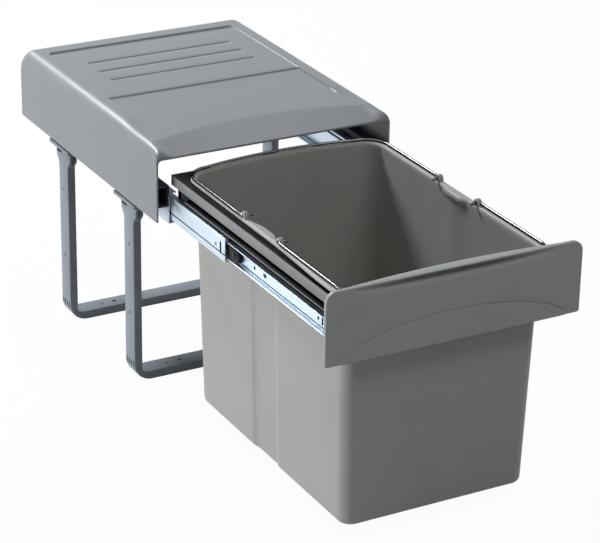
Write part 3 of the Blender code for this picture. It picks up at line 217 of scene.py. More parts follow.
# Lugs and bails, each bail with its body, its pivot, the far side of its wire and that side's bow
LUG_OUTER = 0.1464
LUG_INNER = 0.1402
LUG_HALF = 0.0058
LUG_HOLE = 0.0029
LUG_SINK = 0.0040
LUG_ROUND = 0.0006
WIRE_RADIUS = 0.0020
WIRE_LEVEL = 0.3503
WIRE_LOW = 0.3499
WIRE_OUTER = 0.1458
WIRE_CORNERS = {1: 0.034, -1: 0.0225}
WIRE_BEND = 0.003
WIRE_SLOPE = 0.016
WIRE_END = (0.3, 0.55, 0.75, 0.9, 0.975)
PIN_INNER = 0.1335
PIN_LENGTH = 0.005
BAILS = (("rear_bail", "rear_handle", -0.18403, -0.01335, REAR_BOW),
         ("front_bail", "front_handle", -0.27803, -0.4433, 0.0))

# Front panel
PANEL_WALL = 0.006
PANEL_ROUND = 0.0012
BACK_ROUND = 0.6
PANEL_CORNER = 0.0145
PANEL_FOOT = 0.003
BULGE = 0.009
BULGE_HEIGHT = 0.020
BULGE_FADE = 0.003
GRIP_HALF = 0.150
GRIP_HEIGHT = 0.0135
GRIP_DEPTH = 0.0112
GRIP_LIP = 0.0012
GRIP_EDGE = 0.0018
GRIP_FADE = 0.010
ARC_MARGIN = 0.020
ARC_RISE = 0.0395
ARC_POWER = 0.62
ARC_STEP = 0.0006
ARC_GROOVE = 0.0010
ARC_SOFT = 0.0010
ARC_SHIFT = 0.0006
ARC_CLEAR = (0.004, 0.02)
# Its mesh lines, as distances from the foot, the arch line, the grip, the bulge and the top
COLUMN_GAP = 0.00004
FOOT_MARKS = (0.0, 0.0001, 0.0003, 0.0006, 0.0012)
ARC_MARKS = (-0.0012, -0.0008, -0.0004, 0.0, 0.0003, 0.0006, 0.0009, 0.0012, 0.0018)
GRIP_MARKS = (0.0014, 0.001, 0.0006, 0.0003, 0.0)
BULGE_MARKS = (-0.0005, 0.0005, 0.0012, 0.0020, 0.0030, 0.0040)
TOP_MARKS = (0.0009, 0.0006, 0.0003, 0.0001, 0.0)

# Slides, with holes as distance from the member's front end, half length and half height
SHEET = 0.0012
SECTION_ROUND = 0.0005
SLIDE_CENTRE = 0.2929
GROOVE_SHARE = 0.42
GROOVE_DIP = 0.0009
GROOVE_CORNER = 0.0018
GROOVE_HALF_WIDTH = 0.0009
GROOVE_CHAMFER = 0.0002
GROOVE_SLACK = 0.0001
OUTER_LIP = 0.0028
TAB_REACH = 0.0055
TAB_HEIGHT = 0.0026
TAB_SETBACK = 0.0002
TAB_SHEET = 0.0010
TAB_ROUND = 0.0002
HOLE_CUT = 0.002
MIDDLE_HOLES = ((0.0128, 0.0022, 0.0085), (0.0262, 0.0024, 0.0022))
INNER_HOLES = ((0.0510, 0.0021, 0.0060), (0.0615, 0.0024, 0.0022), (0.1990, 0.0041, 0.0025),
               (0.2268, 0.0025, 0.0025), (0.0133, 0.0021, 0.0021), (0.3782, 0.0021, 0.0021))

# Floor frames
LEG_WALL = 0.012
FRAME_DEPTH = 0.030
BAR_HEIGHT = 0.0125
LEG_OUTER = 0.1715
FOOT_ROUND = 0.027
FOOT_INSIDE = 0.005
FRAME_EDGE = 0.0011
HEAD_BOTTOM = 0.265
HEAD_PLATE = 0.0055
HEAD_STEP = 0.0012
PLATE_INNER = 0.1588
PLATE_AHEAD = 0.009
PLATE_BEHIND = 0.027
PLATE_ROUND = 0.0008
PLATE_SINK = 0.0001
POST_ROUND = 0.0006
FLARE_REACH = 0.0082
FLARE_START = 0.0235
FLARE_END = 0.0105
POCKET_WALL = 0.0035
POCKET_HEIGHT = 0.019
POCKET_DEPTH = 0.006
POCKET_OVERRUN = 0.02
HEAD_SLOT = (-0.010, 0.0065)
HEAD_SLOT_HEIGHTS = (0.0062, 0.0012)
CUT_OVERRUN = 0.002
LEG_HOLES = (0.385, 0.775)
LEG_HOLE_RADIUS = 0.0018
LEG_HOLE_DEPTH = 0.006
FLOOR_HOLES = ((0.0645, 0.003), (0.0445, 0.0017))
NOTCHES = (0.0045, 0.0115, 0.0185, 0.0255)
NOTCH_HALF = 0.0017
NOTCH_HEIGHTS = (0.0215, 0.0310)
NOTCH_DEPTH = 0.0045

# Carrier
CARRIER_ROUND = 0.0006
CARRIER_SKIRT = 0.0145
CARRIER_RIB = (0.3168, 0.3208)
CARRIER_RIB_FROM = 0.147
CARRIER_RIB_TOP = (0.3188, 0.322)
CARRIER_RIB_SINK = 0.0019
CARRIER_FOOT = 0.272
CARRIER_RAISE = 0.0065


def smoothstep(share):
    """Ease from 0 to 1."""
    share = min(max(share, 0.0), 1.0)
    return share * share * (3 - 2 * share)


def lerp(low, high, share):
    """A value between two others."""
    return low + (high - low) * share


def arc(centre, radius, start, end, steps):
    """Points on an arc from start to end, in degrees, both ends included."""
    points = []
    for i in range(steps + 1):
        angle = math.radians(start + (end - start) * i / steps)
        points.append((centre[0] + radius * math.cos(angle), centre[1] + radius * math.sin(angle)))
    return points


def circle(centre, radius):
    """A closed outline of 30 sides."""
    return arc(centre, radius, 0, 348, 29)


def rectangle(first, second):
    """A closed outline from two ranges."""
    return [(first[0], second[0]), (first[1], second[0]), (first[1], second[1]), (first[0], second[1])]


def quarter(steps):
    """Sine and cosine at each step of a quarter turn, both ends included."""
    angles = [math.pi / 2 * i / steps for i in range(steps + 1)]
    return [(math.sin(angle), math.cos(angle)) for angle in angles]


def add_object(name, data):
    """An object in the scene."""
    made = bpy.data.objects.new(name, data)
    bpy.context.scene.collection.objects.link(made)
    return made


def mesh_of(name, bm):
    """A mesh with the shape of a bmesh, which is freed."""
    mesh = bpy.data.meshes.new(name)
    bm.to_mesh(mesh)
    bm.free()
    return mesh


def add_node(tree, kind, values=()):
    """A shader node, with values on the sockets that are given."""
    node = tree.nodes.new(f"ShaderNode{kind}")
    for socket, value in dict(values).items():
        node.inputs[socket].default_value = value
    return node


def spread(tree, value, from_low, from_high, to_low, to_high):
    """Map a value from one range to another."""
    node = add_node(tree, "MapRange", {"From Min": from_low, "From Max": from_high,
                                       "To Min": to_low, "To Max": to_high})
    tree.links.new(value, node.inputs["Value"])
    return node.outputs["Result"]


def noise(tree, scale, detail, stretch=(1.0, 1.0, 1.0)):
    """A noise value that follows the object, spread to the range from 0 to 1."""
    coords = add_node(tree, "TexCoord")
    mapping = add_node(tree, "Mapping", {"Scale": stretch})
    texture = add_node(tree, "TexNoise", {"Scale": scale, "Detail": detail})
    tree.links.new(coords.outputs["Object"], mapping.inputs["Vector"])
    tree.links.new(mapping.outputs["Vector"], texture.inputs["Vector"])
    return spread(tree, texture.outputs[0], *NOISE_RANGE, 0.0, 1.0)


def edge_mask(tree, radius, most):
    """A value along edges, up to the given one, and 0 on flat faces."""
    bevel = add_node(tree, "Bevel", {"Radius": radius})
    bevel.samples = EDGE_SAMPLES
    geometry = add_node(tree, "NewGeometry")
    dot = add_node(tree, "VectorMath")
    dot.operation = "DOT_PRODUCT"
    tree.links.new(bevel.outputs["Normal"], dot.inputs[0])
    tree.links.new(geometry.outputs["Normal"], dot.inputs[1])
    return spread(tree, dot.outputs["Value"], *EDGE_COSINES, 0.0, most)


def blend_colour(tree, factor, first, second):
    """Mix two colours, each a tuple or an output, by a factor."""
    mix = add_node(tree, "Mix")
    mix.data_type = "RGBA"
    tree.links.new(factor, mix.inputs["Factor"])
    for socket, value in ((mix.inputs[6], first), (mix.inputs[7], second)):
        if isinstance(value, tuple):
            socket.default_value = (*value, 1.0)
        else:
            tree.links.new(value, socket)
    return mix.outputs[2]


def shade(colour, factor):
    """A colour made lighter or darker."""
    return tuple(min(part * factor, 1.0) for part in colour)


def finish_material(tree, shader, colour, rough, height, distance, strength):
    """Colour, roughness and bump of a material."""
    tree.links.new(colour, shader.inputs["Base Color"])
    tree.links.new(rough, shader.inputs["Roughness"])
    bump = add_node(tree, "Bump", {"Strength": strength, "Distance": distance})
    tree.links.new(height, bump.inputs["Height"])
    tree.links.new(bump.outputs["Normal"], shader.inputs["Normal"])


def new_material(name):
    """An empty Principled material."""
    made = bpy.data.materials.new(name)
    made.use_nodes = True
    return made, made.node_tree, made.node_tree.nodes["Principled BSDF"]


def plastic(name, colour, roughness, grain=0.00004, vary=0.05, wear=0.25, specular=0.4):
    """Moulded plastic: cloudy colour, a fine grain and paler edges."""
    made, tree, shader = new_material(name)
    cloud = noise(tree, CLOUD_SCALE, COARSE_DETAIL)
    speck = spread(tree, noise(tree, SPECK_SCALE, FINE_DETAIL), 0.0, 1.0, 0.0, SPECK_SHARE)
    base = blend_colour(tree, cloud, shade(colour, 1 - vary), shade(colour, 1 + vary))
    base = blend_colour(tree, speck, base, shade(colour, SPECK_SHADE))
    base = blend_colour(tree, edge_mask(tree, PLASTIC_EDGE, wear), base, shade(colour, WORN_SHADE))
    rough = spread(tree, cloud, 0.0, 1.0, roughness - ROUGHNESS_SWING, roughness + ROUGHNESS_SWING)
    shader.inputs["Specular IOR Level"].default_value = specular
    finish_material(tree, shader, base, rough, noise(tree, GRAIN_SCALE, FINE_DETAIL), grain, 0.6)
    return made


def metal(name, colour, roughness, grain=0.00003, stretch=(1.0, 0.06, 1.0), vary=0.10, wear=0.3,
          rim=1.0, edge=1.25):
    """Plated or bare steel with rolling marks along its length and edges of another tone."""
    made, tree, shader = new_material(name)
    cloud = noise(tree, METAL_CLOUD_SCALE, COARSE_DETAIL, stretch)
    marks = noise(tree, ROLLING_SCALE, FINE_DETAIL, stretch)
    base = blend_colour(tree, cloud, shade(colour, 1 - vary), shade(colour, 1 + vary / 2))
    base = blend_colour(tree, edge_mask(tree, METAL_EDGE, wear), base, shade(colour, edge))
    rough = spread(tree, marks, 0.0, 1.0, *(roughness * part for part in METAL_ROUGHNESS))
    shader.inputs["Metallic"].default_value = 1.0
    shader.inputs["Specular Tint"].default_value = (rim, rim, rim, 1.0)
    finish_material(tree, shader, base, rough, marks, grain, ROLLING_BUMP)
    return made


COVER_GREY = plastic("cover_grey", (0.212, 0.226, 0.246), 0.42, vary=0.025, wear=0.08, specular=0.5)
FRAME_GREY = plastic("frame_grey", (0.245, 0.270, 0.300), 0.48, 0.00006, 0.12, 0.35, 0.2)
CARRIER_GREY = plastic("carrier_grey", (0.218, 0.223, 0.223), 0.5, 0.00008, 0.10, 0.15)
PANEL_GREY = plastic("panel_grey", (0.335, 0.345, 0.338), 0.50, 0.00005, 0.04, 0.35)
BIN_GREY = plastic("bin_grey", (0.395, 0.393, 0.372), 0.42, 0.00005, 0.04, 0.12, 0.16)
BLACK = plastic("moulded_black", (0.008, 0.008, 0.009), 0.30, vary=0.2, wear=0.03, specular=0.12)
RAIL_BLACK = plastic("coated_black", (0.020, 0.020, 0.022), 0.45, vary=0.2, wear=0.10)
ZINC = metal("zinc_plate", (0.62, 0.72, 0.83), 0.36, wear=1.0, edge=0.35)
BALL = metal("ball_steel_polished", (0.62, 0.63, 0.66), 0.15)
SCREW = metal("screw_zinc", (0.58, 0.60, 0.63), 0.28)
# Chrome kept dark with a black edge tint: a painted dark reflection of the surroundings, so only the lamps
# give its bright lines.
CHROME = metal("chrome_plate", (0.12, 0.125, 0.13), 0.15, 0.00001, (1.0, 1.0, 1.0), 0.06, wear=0.0, rim=0.0)

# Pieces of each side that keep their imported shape: name, material, slot, rounding and its steps
SIDE_PIECES = (("side_rail", RAIL_BLACK, "black_rail", 0.0004, 2),
               ("release_lever", BLACK, "black_plastic", 0.0005, 2),
               ("lever_pin", RAIL_BLACK, "screw_steel", 0.0002, 2),
               ("rear_buffer", BLACK, "black_plastic", 0.0006, 2),
               ("outer_ball_cage", BALL, "ball_steel", 0.0001, 1),
               ("inner_ball_cage", BALL, "ball_steel", 0.0001, 1))
SCREW_ROUND = 0.0003


def place_mesh(name, bm, material, body, nodes, angle):
    """Make a piece of a bmesh: shaded, riding on its body and standing for its CAD nodes."""
    bmesh.ops.recalc_face_normals(bm, faces=bm.faces)
    mesh = mesh_of(name, bm)
    mesh.shade_smooth()
    mesh.set_sharp_from_angle(angle=math.radians(angle))
    mesh.materials.append(material)
    piece = add_object(name, mesh)
    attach(piece, body)
    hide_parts(*nodes)
    return piece


def bridge(bm, first, second, closed=False):
    """A strip of faces between two rows of vertices."""
    count = len(first)
    for i in range(count if closed else count - 1):
        j = (i + 1) % count
        bm.faces.new((first[i], first[j], second[j], second[i]))


def bridge_rows(bm, rows, closed=False):
    """Strips of faces between all neighbouring rows of vertices."""
    for first, second in zip(rows, rows[1:]):
        bridge(bm, first, second, closed)


def cap_ends(bm, loops):
    """A face on the first and on the last of some loops."""
    bm.faces.new(list(reversed(loops[0])))
    bm.faces.new(loops[-1])


def add_prism(bm, axis, outline, low, high):
    """A prism with the given outline, from low to high along the axis."""
    order = {"X": lambda a, b, c: (c, a, b), "Y": lambda a, b, c: (a, c, b), "Z": lambda a, b, c: (a, b, c)}
    loops = [[bm.verts.new(order[axis](a, b, level)) for a, b in outline] for level in (low, high)]
    cap_ends(bm, loops)
    bridge_rows(bm, loops, closed=True)


def add_box(bm, xs, ys, zs, width):
    """A box with rounded edges."""
    made = bmesh.new()
    add_prism(made, "Z", rectangle(xs, ys), *zs)
    bmesh.ops.recalc_face_normals(made, faces=made.faces)
    bmesh.ops.bevel(made, geom=list(made.edges), offset=width, segments=2, profile=0.5, affect="EDGES")
    bm.from_mesh(mesh_of("box", made))


def carve(bm, cutter):
    """Cut the solids of one bmesh out of another and return the result."""
    parts = []
    for label, source in (("carved", bm), ("cutter", cutter)):
        bmesh.ops.recalc_face_normals(source, faces=source.faces)
        parts.append(add_object(label, mesh_of(label, source)))
    modifier = parts[0].modifiers.new("cut", "BOOLEAN")
    modifier.operation = "DIFFERENCE"
    modifier.solver = "EXACT"
    modifier.object = parts[1]
    graph = bpy.context.evaluated_depsgraph_get()
    made = bmesh.new()
    made.from_mesh(bpy.data.meshes.new_from_object(parts[0].evaluated_get(graph)))
    for part in parts:
        bpy.data.objects.remove(part, do_unlink=True)
    return made


def refined(node, material, slot, width, segments=2):
    """The CAD node again, with its edges rounded."""
    bm = bmesh.new()
    bm.from_mesh(NODES[node].data)
    bmesh.ops.remove_doubles(bm, verts=bm.verts, dist=WELD)
    bmesh.ops.dissolve_limit(bm, angle_limit=math.radians(FLAT_ANGLE), verts=bm.verts, edges=bm.edges)
    sharp = [edge for edge in bm.edges
             if len(edge.link_faces) == 2 and edge.calc_face_angle(0.0) > math.radians(BEVEL_ANGLE)]
    bmesh.ops.bevel(bm, geom=sharp, offset=width, segments=segments, profile=0.5, affect="EDGES",
                    clamp_overlap=True)
    return place_mesh(f"{node}_piece", bm, material, NODES[node]["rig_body"], [node], 40.0)


def fascia_reach(x):
    """How far behind the front edge the fascia's slope ends."""
    share = x / COVER_HALF
    return FASCIA_CENTRE - (FASCIA_CENTRE - FASCIA_SIDE) * share * share


def soft_min(first, second, soft):
    """The lower of two heights, with a soft crease where they cross."""
    share = max(soft - abs(first - second), 0.0) / soft
    return min(first, second) - share * share * soft / 4


def outside_of(across, along, radius):
    """Distance outside a round corner, from the distances past its centre."""
    return math.hypot(max(across, 0.0), max(along, 0.0)) + min(max(across, along), 0.0) - radius


def tray_drop(x, y):
    """How far the top is sunk at a place, as a distance behind the front edge."""
    outside = outside_of(TRAY_CORNER - TRAY_HALF + abs(x), TRAY_CORNER - TRAY_REAR + y, TRAY_CORNER)
    inside = smoothstep(0.5 - outside / (2 * STEP_SOFT))
    front = smoothstep(0.5 - (y - FRONT_TRAY) / (2 * STEP_SOFT))
    drop = lerp(REAR_TRAY_DEPTH, FRONT_TRAY_DEPTH, front)
    drop += REAR_DIP * smoothstep((y - REAR_DIP_START) / (TRAY_REAR - REAR_DIP_START))
    for groove in GROOVES:
        gone = math.hypot(max(abs(x) - GROOVE_HALF, 0.0), y - groove) / GROOVE_WIDTH
        drop += GROOVE_DEPTH * (1 - smoothstep(gone))
    border = FRONT_TRAY_DEPTH * smoothstep((BORDER_FADE_START - y) / (BORDER_FADE_START - BORDER_FADE_END))
    bead = BEAD_DEPTH * (1 - smoothstep(abs(abs(x) - BEAD_PLACE) / BEAD_HALF))
    bead *= smoothstep((y - BORDER_FADE_END) / BEAD_FADE)
    border += bead * smoothstep((TRAY_REAR + BEAD_END_FADE - y) / BEAD_END_FADE)
    return lerp(border, drop, inside)


def cover_section(half, top, radius):
    """The section across the cover: up the left skirt, over the top and down the right one."""
    flat = half - radius
    left = [(-half, lerp(SKIRT_BOTTOM, top - radius, i / 8)) for i in range(8)]
    left += arc((-flat, top - radius), radius, 180, 90, 10)[:-1]
    scale = flat / (COVER_HALF - EDGE_RADIUS)
    columns = [-x / 1000 for x in reversed(COVER_COLUMNS[1:])] + [x / 1000 for x in COVER_COLUMNS]
    return left + [(x * scale, top) for x in columns] + [(-x, z) for x, z in reversed(left)]


def marks_about(place, marks):
    """Places about another one, from marks in tenths of a millimetre."""
    return [place + mark / 10000 for mark in marks]


def cover_rows():
    """Rows from front to rear: a share of the fascia, a distance, the rear drop and the front inset."""
    rows = []
    for angle in RIM_ANGLES:
        turn = math.radians(angle)
        rows.append((0.0, RIM_ROUND * (1 - math.cos(turn)), 0.0, RIM_ROUND * (1 - math.sin(turn))))
    rows.append((0.0, RIM_ROUND, 0.0, 0.0))
    rows += [(share, 0.0, 0.0, 0.0) for share in FASCIA_ROWS]
    for share in (0.25, 0.5, 0.75, 1.0):
        rows.append((FASCIA_ROWS[-1] * (1 - share), STRAIGHT_FROM * share, 0.0, 0.0))
    straight = list(FRONT_ROWS) + marks_about(FRONT_TRAY, STEP_MARKS) + list(MIDDLE_ROWS)
    for groove in GROOVES:
        straight += marks_about(groove, GROOVE_MARKS + GROOVE_GAP_MARKS)
    straight = [y for y in straight if y < REAR_ROWS[0]] + list(REAR_ROWS)
    straight += marks_about(TRAY_REAR, TRAY_END_MARKS) + list(LAST_ROWS)
    rows += [(0.0, y, 0.0, 0.0) for y in straight]
    for sine, cosine in quarter(10):
        rows.append((0.0, COVER_DEPTH - EDGE_RADIUS * (1 - sine), EDGE_RADIUS * (1 - cosine), 0.0))
    return rows


def cover_point(x, z, row, wall):
    """A point of the cover's surface, from its section and its row."""
    share, distance, drop, _ = row
    reach = fascia_reach(x)
    y = share * reach + distance
    if drop:
        level = -drop
    else:
        level = soft_min(LIP_DROP * (y / reach - 1), -tray_drop(x, y), CREASE_SOFT)
    edge = smoothstep((abs(x) - SIDE_BLEND_START) / (SIDE_BLEND_END - SIDE_BLEND_START))
    if edge and not drop:
        back = max(1 - y / SIDE_ROUND, 0.0)
        level = lerp(level, -SIDE_DROP * (1 - math.sqrt(1 - back * back)), edge)
    if wall:
        thickness = lerp(LIP_WALL, COVER_TOP_WALL, min(y / reach, 1.0))
        level = -LIP_DROP * max(1 - y / reach, 0.0) - thickness - drop
    fade = smoothstep((z - SKIRT_BOTTOM) / (COVER_TOP - SKIRT_BOTTOM) * SKIRT_FADE)
    return (x, COVER_FRONT + y, z + level * fade)


def cover_grid(bm, wall):
    """Vertices of the outer or the inner surface of the cover, row by row."""
    grid = []
    for row in cover_rows():
        inset = row[3] if wall == 0.0 else 0.0
        tight = smoothstep(1 - (row[0] * FASCIA_SIDE + row[1]) / TIGHT_FROM)
        radius = lerp(EDGE_RADIUS, FRONT_EDGE_RADIUS, tight)
        section = cover_section(COVER_HALF - wall - inset, COVER_TOP - inset, radius - wall)
        grid.append([bm.verts.new(cover_point(x, z, row, wall)) for x, z in section])
    return grid


def make_cover():
    """The cover, with its fascia, trays and grooves."""
    bm = bmesh.new()
    outer = cover_grid(bm, 0.0)
    inner = cover_grid(bm, COVER_WALL)
    for grid in (outer, inner):
        bridge_rows(bm, grid)
    for end in (0, -1):
        bridge(bm, outer[end], inner[end])
        bridge(bm, [row[end] for row in outer], [row[end] for row in inner])
    place_mesh("cover_shell", bm, COVER_GREY, "base", ["cover"], 38.0)


def bin_wall(z):
    """Half width, front and rear of the bin's outer wall at a height."""
    share = (BIN_TOP - z) / (BIN_TOP - BIN_BOTTOM)
    return BIN_HALF - SIDE_DRAFT * share, BIN_FRONT + FRONT_DRAFT * share, BIN_REAR - REAR_DRAFT * share


def waist(y, depth, front_ramp, rear_ramp):
    """How far a waist with these ramps goes in at a place along the side."""
    rear = smoothstep((WAIST_REAR - y) / rear_ramp)
    return depth * rear * smoothstep((y - WAIST_FRONT) / front_ramp)


def rim_flare(y):
    """How much wider the rim gets towards its front, on each side."""
    return RIM_FLARE * smoothstep((RIM_FLARE_FROM - y) / RIM_FLARE_LENGTH)


def side_recess(y, z, face):
    """How far a side of the bin goes in at a place: outside, inside or at the rim."""
    if face == "rim":
        return 0.0
    if face == "outside":
        depth, front_ramp, rear_ramp = OUTER_WAIST
        share = min(max((WAIST_REAR - y) / rear_ramp, 0.0), 1.0)
        rear = 1 - (1 - share) ** WAIST_EDGE_POWER
        return depth * rear * smoothstep((y - WAIST_FRONT) / front_ramp)
    share = smoothstep((z - BIN_TOP + RIM_DROP + RIM_WAIST_FADE) / RIM_WAIST_FADE)
    return lerp(waist(y, *INNER_WAIST), waist(y, *RIM_WAIST), share)


def side_places(front, rear):
    """Places along a side of the bin, dense in the waist."""
    start, end = WAIST_FRONT - WAIST_MARGIN, WAIST_REAR + WAIST_MARGIN
    places = [lerp(front, start, i / 6) for i in range(6)]
    places += [lerp(start, end, i / 48) for i in range(49)]
    return places + [lerp(end, rear, i / 6) for i in range(1, 7)]


def bin_outline(z, grow, face):
    """Outline of the bin at a height: round corners, a bowed rear and a waist in each side."""
    half, front, rear = bin_wall(z)
    half += grow
    front -= grow * FRONT_GROWTH if grow > 0 else grow
    rear += grow
    radius = CORNER + grow
    flat = half - radius
    front_radius = FRONT_CORNER + grow
    front_flat = half - front_radius
    front_side = [(lerp(-front_flat, front_flat, i / 10), front) for i in range(1, 10)]
    right = [(half - side_recess(y, z, face), y) for y in side_places(front + front_radius, rear - radius)]
    bow = []
    for i in range(1, 16):
        share = 1 - 2 * i / 16
        bow.append((flat * share, rear + REAR_BOW * (1 - share * share)))
    points = front_side + arc((front_flat, front + front_radius), front_radius, -90, 0, 12)[:-1] + right
    points += arc((flat, rear - radius), radius, 0, 90, 12)[1:] + bow
    points += arc((-flat, rear - radius), radius, 90, 180, 12)[:-1]
    points += [(-x, y) for x, y in reversed(right)]
    points += arc((-front_flat, front + front_radius), front_radius, 180, 270, 12)[1:]
    if face == "rim":
        points = [(x * (1 + rim_flare(y) / half), y) for x, y in points]
    return points


def foot_rings(wall, floor):
    """Rings of the round foot of the bin's inner or outer surface, from the floor up."""
    rings = []
    for sine, cosine in quarter(5):
        z = floor + FOOT_FILLET * (1 - cosine)
        rings.append((z, -wall - FOOT_FILLET * (1 - sine), z, "inside" if wall else "outside"))
    return rings


def bin_rings():
    """Rings of the bin as (height, growth, height of the outline, face), round the wall's section."""
    top = BIN_TOP
    under = top - RIM_PLATE
    rings = foot_rings(0.0, BIN_BOTTOM)
    rings += [(z, 0.0, z, "outside") for z in
              (lerp(BIN_BOTTOM + FOOT_FILLET, under - WALL_END, i / 12) for i in range(1, 13))]
    rings += [(under - drop, growth, under, "outside") for drop, growth in UNDER_RIM]
    lip = RIM_REACH - RIM_LIP_WALL
    rings += [(under, lip - RIM_CHAMFER, top, "rim"), (under - RIM_CHAMFER, lip, top, "rim")]
    rings += [(RIM_LIP_BOTTOM, lip, top, "rim"), (RIM_LIP_BOTTOM, RIM_REACH, top, "rim")]
    for sine, cosine in quarter(4):
        rings.append((top - RIM_SLOPE * (1 - sine), RIM_REACH - RIM_ROUNDING * (1 - cosine), top, "rim"))
    for sine, cosine in quarter(8):
        rings.append((top - RIM_DROP * (1 - cosine), -BIN_WALL + RIM_INWARD * (1 - sine), top, "inside"))
    low = top - RIM_DROP - RIM_WAIST_FADE
    floor = BIN_BOTTOM + BIN_WALL
    heights = [top - RIM_DROP - RIM_WAIST_FADE * i / 6 for i in range(1, 7)]
    heights += [lerp(low, floor + FOOT_FILLET, i / 12) for i in range(1, 12)]
    rings += [(z, -BIN_WALL, z, "inside") for z in heights]
    return rings + list(reversed(foot_rings(BIN_WALL, floor)))


def add_lug(bm, side, middle):
    """A round lug on the rim, with the hole that a bail's pin turns in."""
    foot = BIN_TOP - LUG_SINK
    outer = [(middle - LUG_HALF, foot)] + arc((middle, WIRE_LEVEL), LUG_HALF, 180, 0, 16)
    outer += [(middle + LUG_HALF, foot)]
    xs = sorted((side * LUG_OUTER, side * LUG_INNER))
    loops = []
    for x, shrink in ((xs[0], None), (xs[0], LUG_ROUND), (xs[0] + LUG_ROUND, 0.0),
                      (xs[1] - LUG_ROUND, 0.0), (xs[1], LUG_ROUND), (xs[1], None)):
        loop = []
        for y, z in outer:
            length = math.hypot(y - middle, z - WIRE_LEVEL)
            scale = (LUG_HOLE if shrink is None else length - shrink) / length
            loop.append(bm.verts.new((x, lerp(middle, y, scale), lerp(WIRE_LEVEL, z, scale))))
        loops.append(loop)
    bridge_rows(bm, loops + loops[:1], closed=True)


def make_bin():
    """The bin: a drafted tub with a waist, a rolled rim and four lugs."""
    bm = bmesh.new()
    rings = []
    for z, grow, level, face in bin_rings():
        rings.append([bm.verts.new((x, y, z)) for x, y in bin_outline(level, grow, face)])
    bridge_rows(bm, rings, closed=True)
    cap_ends(bm, rings)
    for _, _, pivot, _, _ in BAILS:
        for side, _ in SIDES:
            add_lug(bm, side, pivot)
    place_mesh("bin_tub", bm, BIN_GREY, "bin", ["waste_bin"], 40.0)


def tube(bm, route, radius, sides=16):
    """A round bar along a route, with round ends."""
    points = [Vector(point) for point in route]
    rings = []
    up = Vector((0.0, 0.0, 1.0))
    for i, point in enumerate(points):
        ahead = (points[min(i + 1, len(points) - 1)] - points[max(i - 1, 0)]).normalized()
        side = ahead.cross(up).normalized()
        rings.append((point, ahead, side, side.cross(ahead), radius))
    start, end = rings[0], rings[-1]
    for step in WIRE_END:
        back = radius * step
        size = radius * math.sqrt(1 - step * step)
        rings.insert(0, (start[0] - start[1] * back, *start[1:4], size))
        rings.append((end[0] + end[1] * back, *end[1:4], size))
    loops = []
    for point, _, side, top, size in rings:
        angles = [2 * math.pi * k / sides for k in range(sides)]
        loops.append([bm.verts.new(point + side * size * math.cos(angle) + top * size * math.sin(angle))
                      for angle in angles])
    bridge_rows(bm, loops, closed=True)
    cap_ends(bm, loops)


def bail_route(pivot, end, bow):
    """Half of a bail's route, from the pin's inner end to the middle of the far side."""
    outward = 1 if end > pivot else -1
    route = [(PIN_INNER, pivot), (PIN_INNER + PIN_LENGTH, pivot)]
    for sine, cosine in quarter(6):
        route.append((WIRE_OUTER - WIRE_BEND + WIRE_BEND * sine, pivot + outward * WIRE_BEND * (1 - cosine)))
    for i in range(1, 9):
        route.append((WIRE_OUTER, pivot + outward * (WIRE_BEND + WIRE_SLOPE * i / 8)))
    corner = WIRE_CORNERS[outward]
    flat = WIRE_OUTER - corner
    for sine, cosine in quarter(12):
        route.append((flat + corner * cosine, end - outward * corner * (1 - sine)))
    for i in range(1, 10):
        share = 1 - i / 10
        route.append((flat * share, end + outward * bow * (1 - share * share)))
    return route + [(0.0, end + outward * bow)]


def make_bail(name, body, pivot, end, bow):
    """A chrome wire bail."""
    half = bail_route(pivot, end, bow)
    points = []
    for x, y in half + [(-x, y) for x, y in reversed(half[:-1])]:
        away = smoothstep((abs(y - pivot) - WIRE_BEND) / WIRE_SLOPE)
        points.append((x, y, lerp(WIRE_LEVEL, WIRE_LOW, away)))
    bm = bmesh.new()
    tube(bm, points, WIRE_RADIUS)
    place_mesh(f"{name}_wire", bm, CHROME, body, [name], 60.0)


def rounding(x, z, half, low, high):
    """How far the panel's round edge falls back at a place of its face."""
    radius = PANEL_CORNER if z > (low + high) / 2 else PANEL_FOOT
    outside = outside_of(abs(x) - (half - radius), max(z - (high - radius), (low + radius) - z), radius)
    gap = max(PANEL_ROUND - max(-outside, 0.0), 0.0)
    return PANEL_ROUND - math.sqrt(PANEL_ROUND ** 2 - gap ** 2)


def panel_ends(half, low, high, x):
    """Lowest and highest height of the panel's outline at a distance from the middle."""
    foot = max(abs(x) - (half - PANEL_FOOT), 0.0)
    head = max(abs(x) - (half - PANEL_CORNER), 0.0)
    return (low + PANEL_FOOT - math.sqrt(max(PANEL_FOOT ** 2 - foot ** 2, 0.0)),
            high - PANEL_CORNER + math.sqrt(max(PANEL_CORNER ** 2 - head ** 2, 0.0)))


def arch_height(x, half, low):
    """Height of the arch line on the panel's face."""
    share = min(abs(x) / (half - ARC_MARGIN), 1.0)
    return low + ARC_RISE * (1 - share * share) ** ARC_POWER


def grip_share(x):
    """How deep the grip and the bulge are across the panel."""
    share = min(abs(x) / GRIP_HALF, 1.0)
    return 1 - share * share


def panel_face(x, z, half, low, high, front):
    """World y of the panel's front face."""
    below = high - GRIP_LIP - z
    scoop = 0.0
    if below > 0:
        scoop = GRIP_DEPTH * grip_share(x) * smoothstep(below / GRIP_EDGE)
        scoop *= smoothstep((GRIP_HEIGHT - below) / GRIP_FADE)
    gap = arch_height(x, half, low) - z
    raised = ARC_STEP * smoothstep(gap / ARC_SOFT)
    groove = ARC_GROOVE * (1 - smoothstep(abs(gap + ARC_SHIFT) / ARC_SOFT))
    return front + rounding(x, z, half, low, high) + scoop - raised + groove


def panel_back(x, z, half, low, high, back):
    """World y of the panel's back."""
    bulge = BULGE * grip_share(x) * smoothstep((z - (high - BULGE_HEIGHT)) / BULGE_FADE)
    return back + bulge - rounding(x, z, half, low, high) * BACK_ROUND


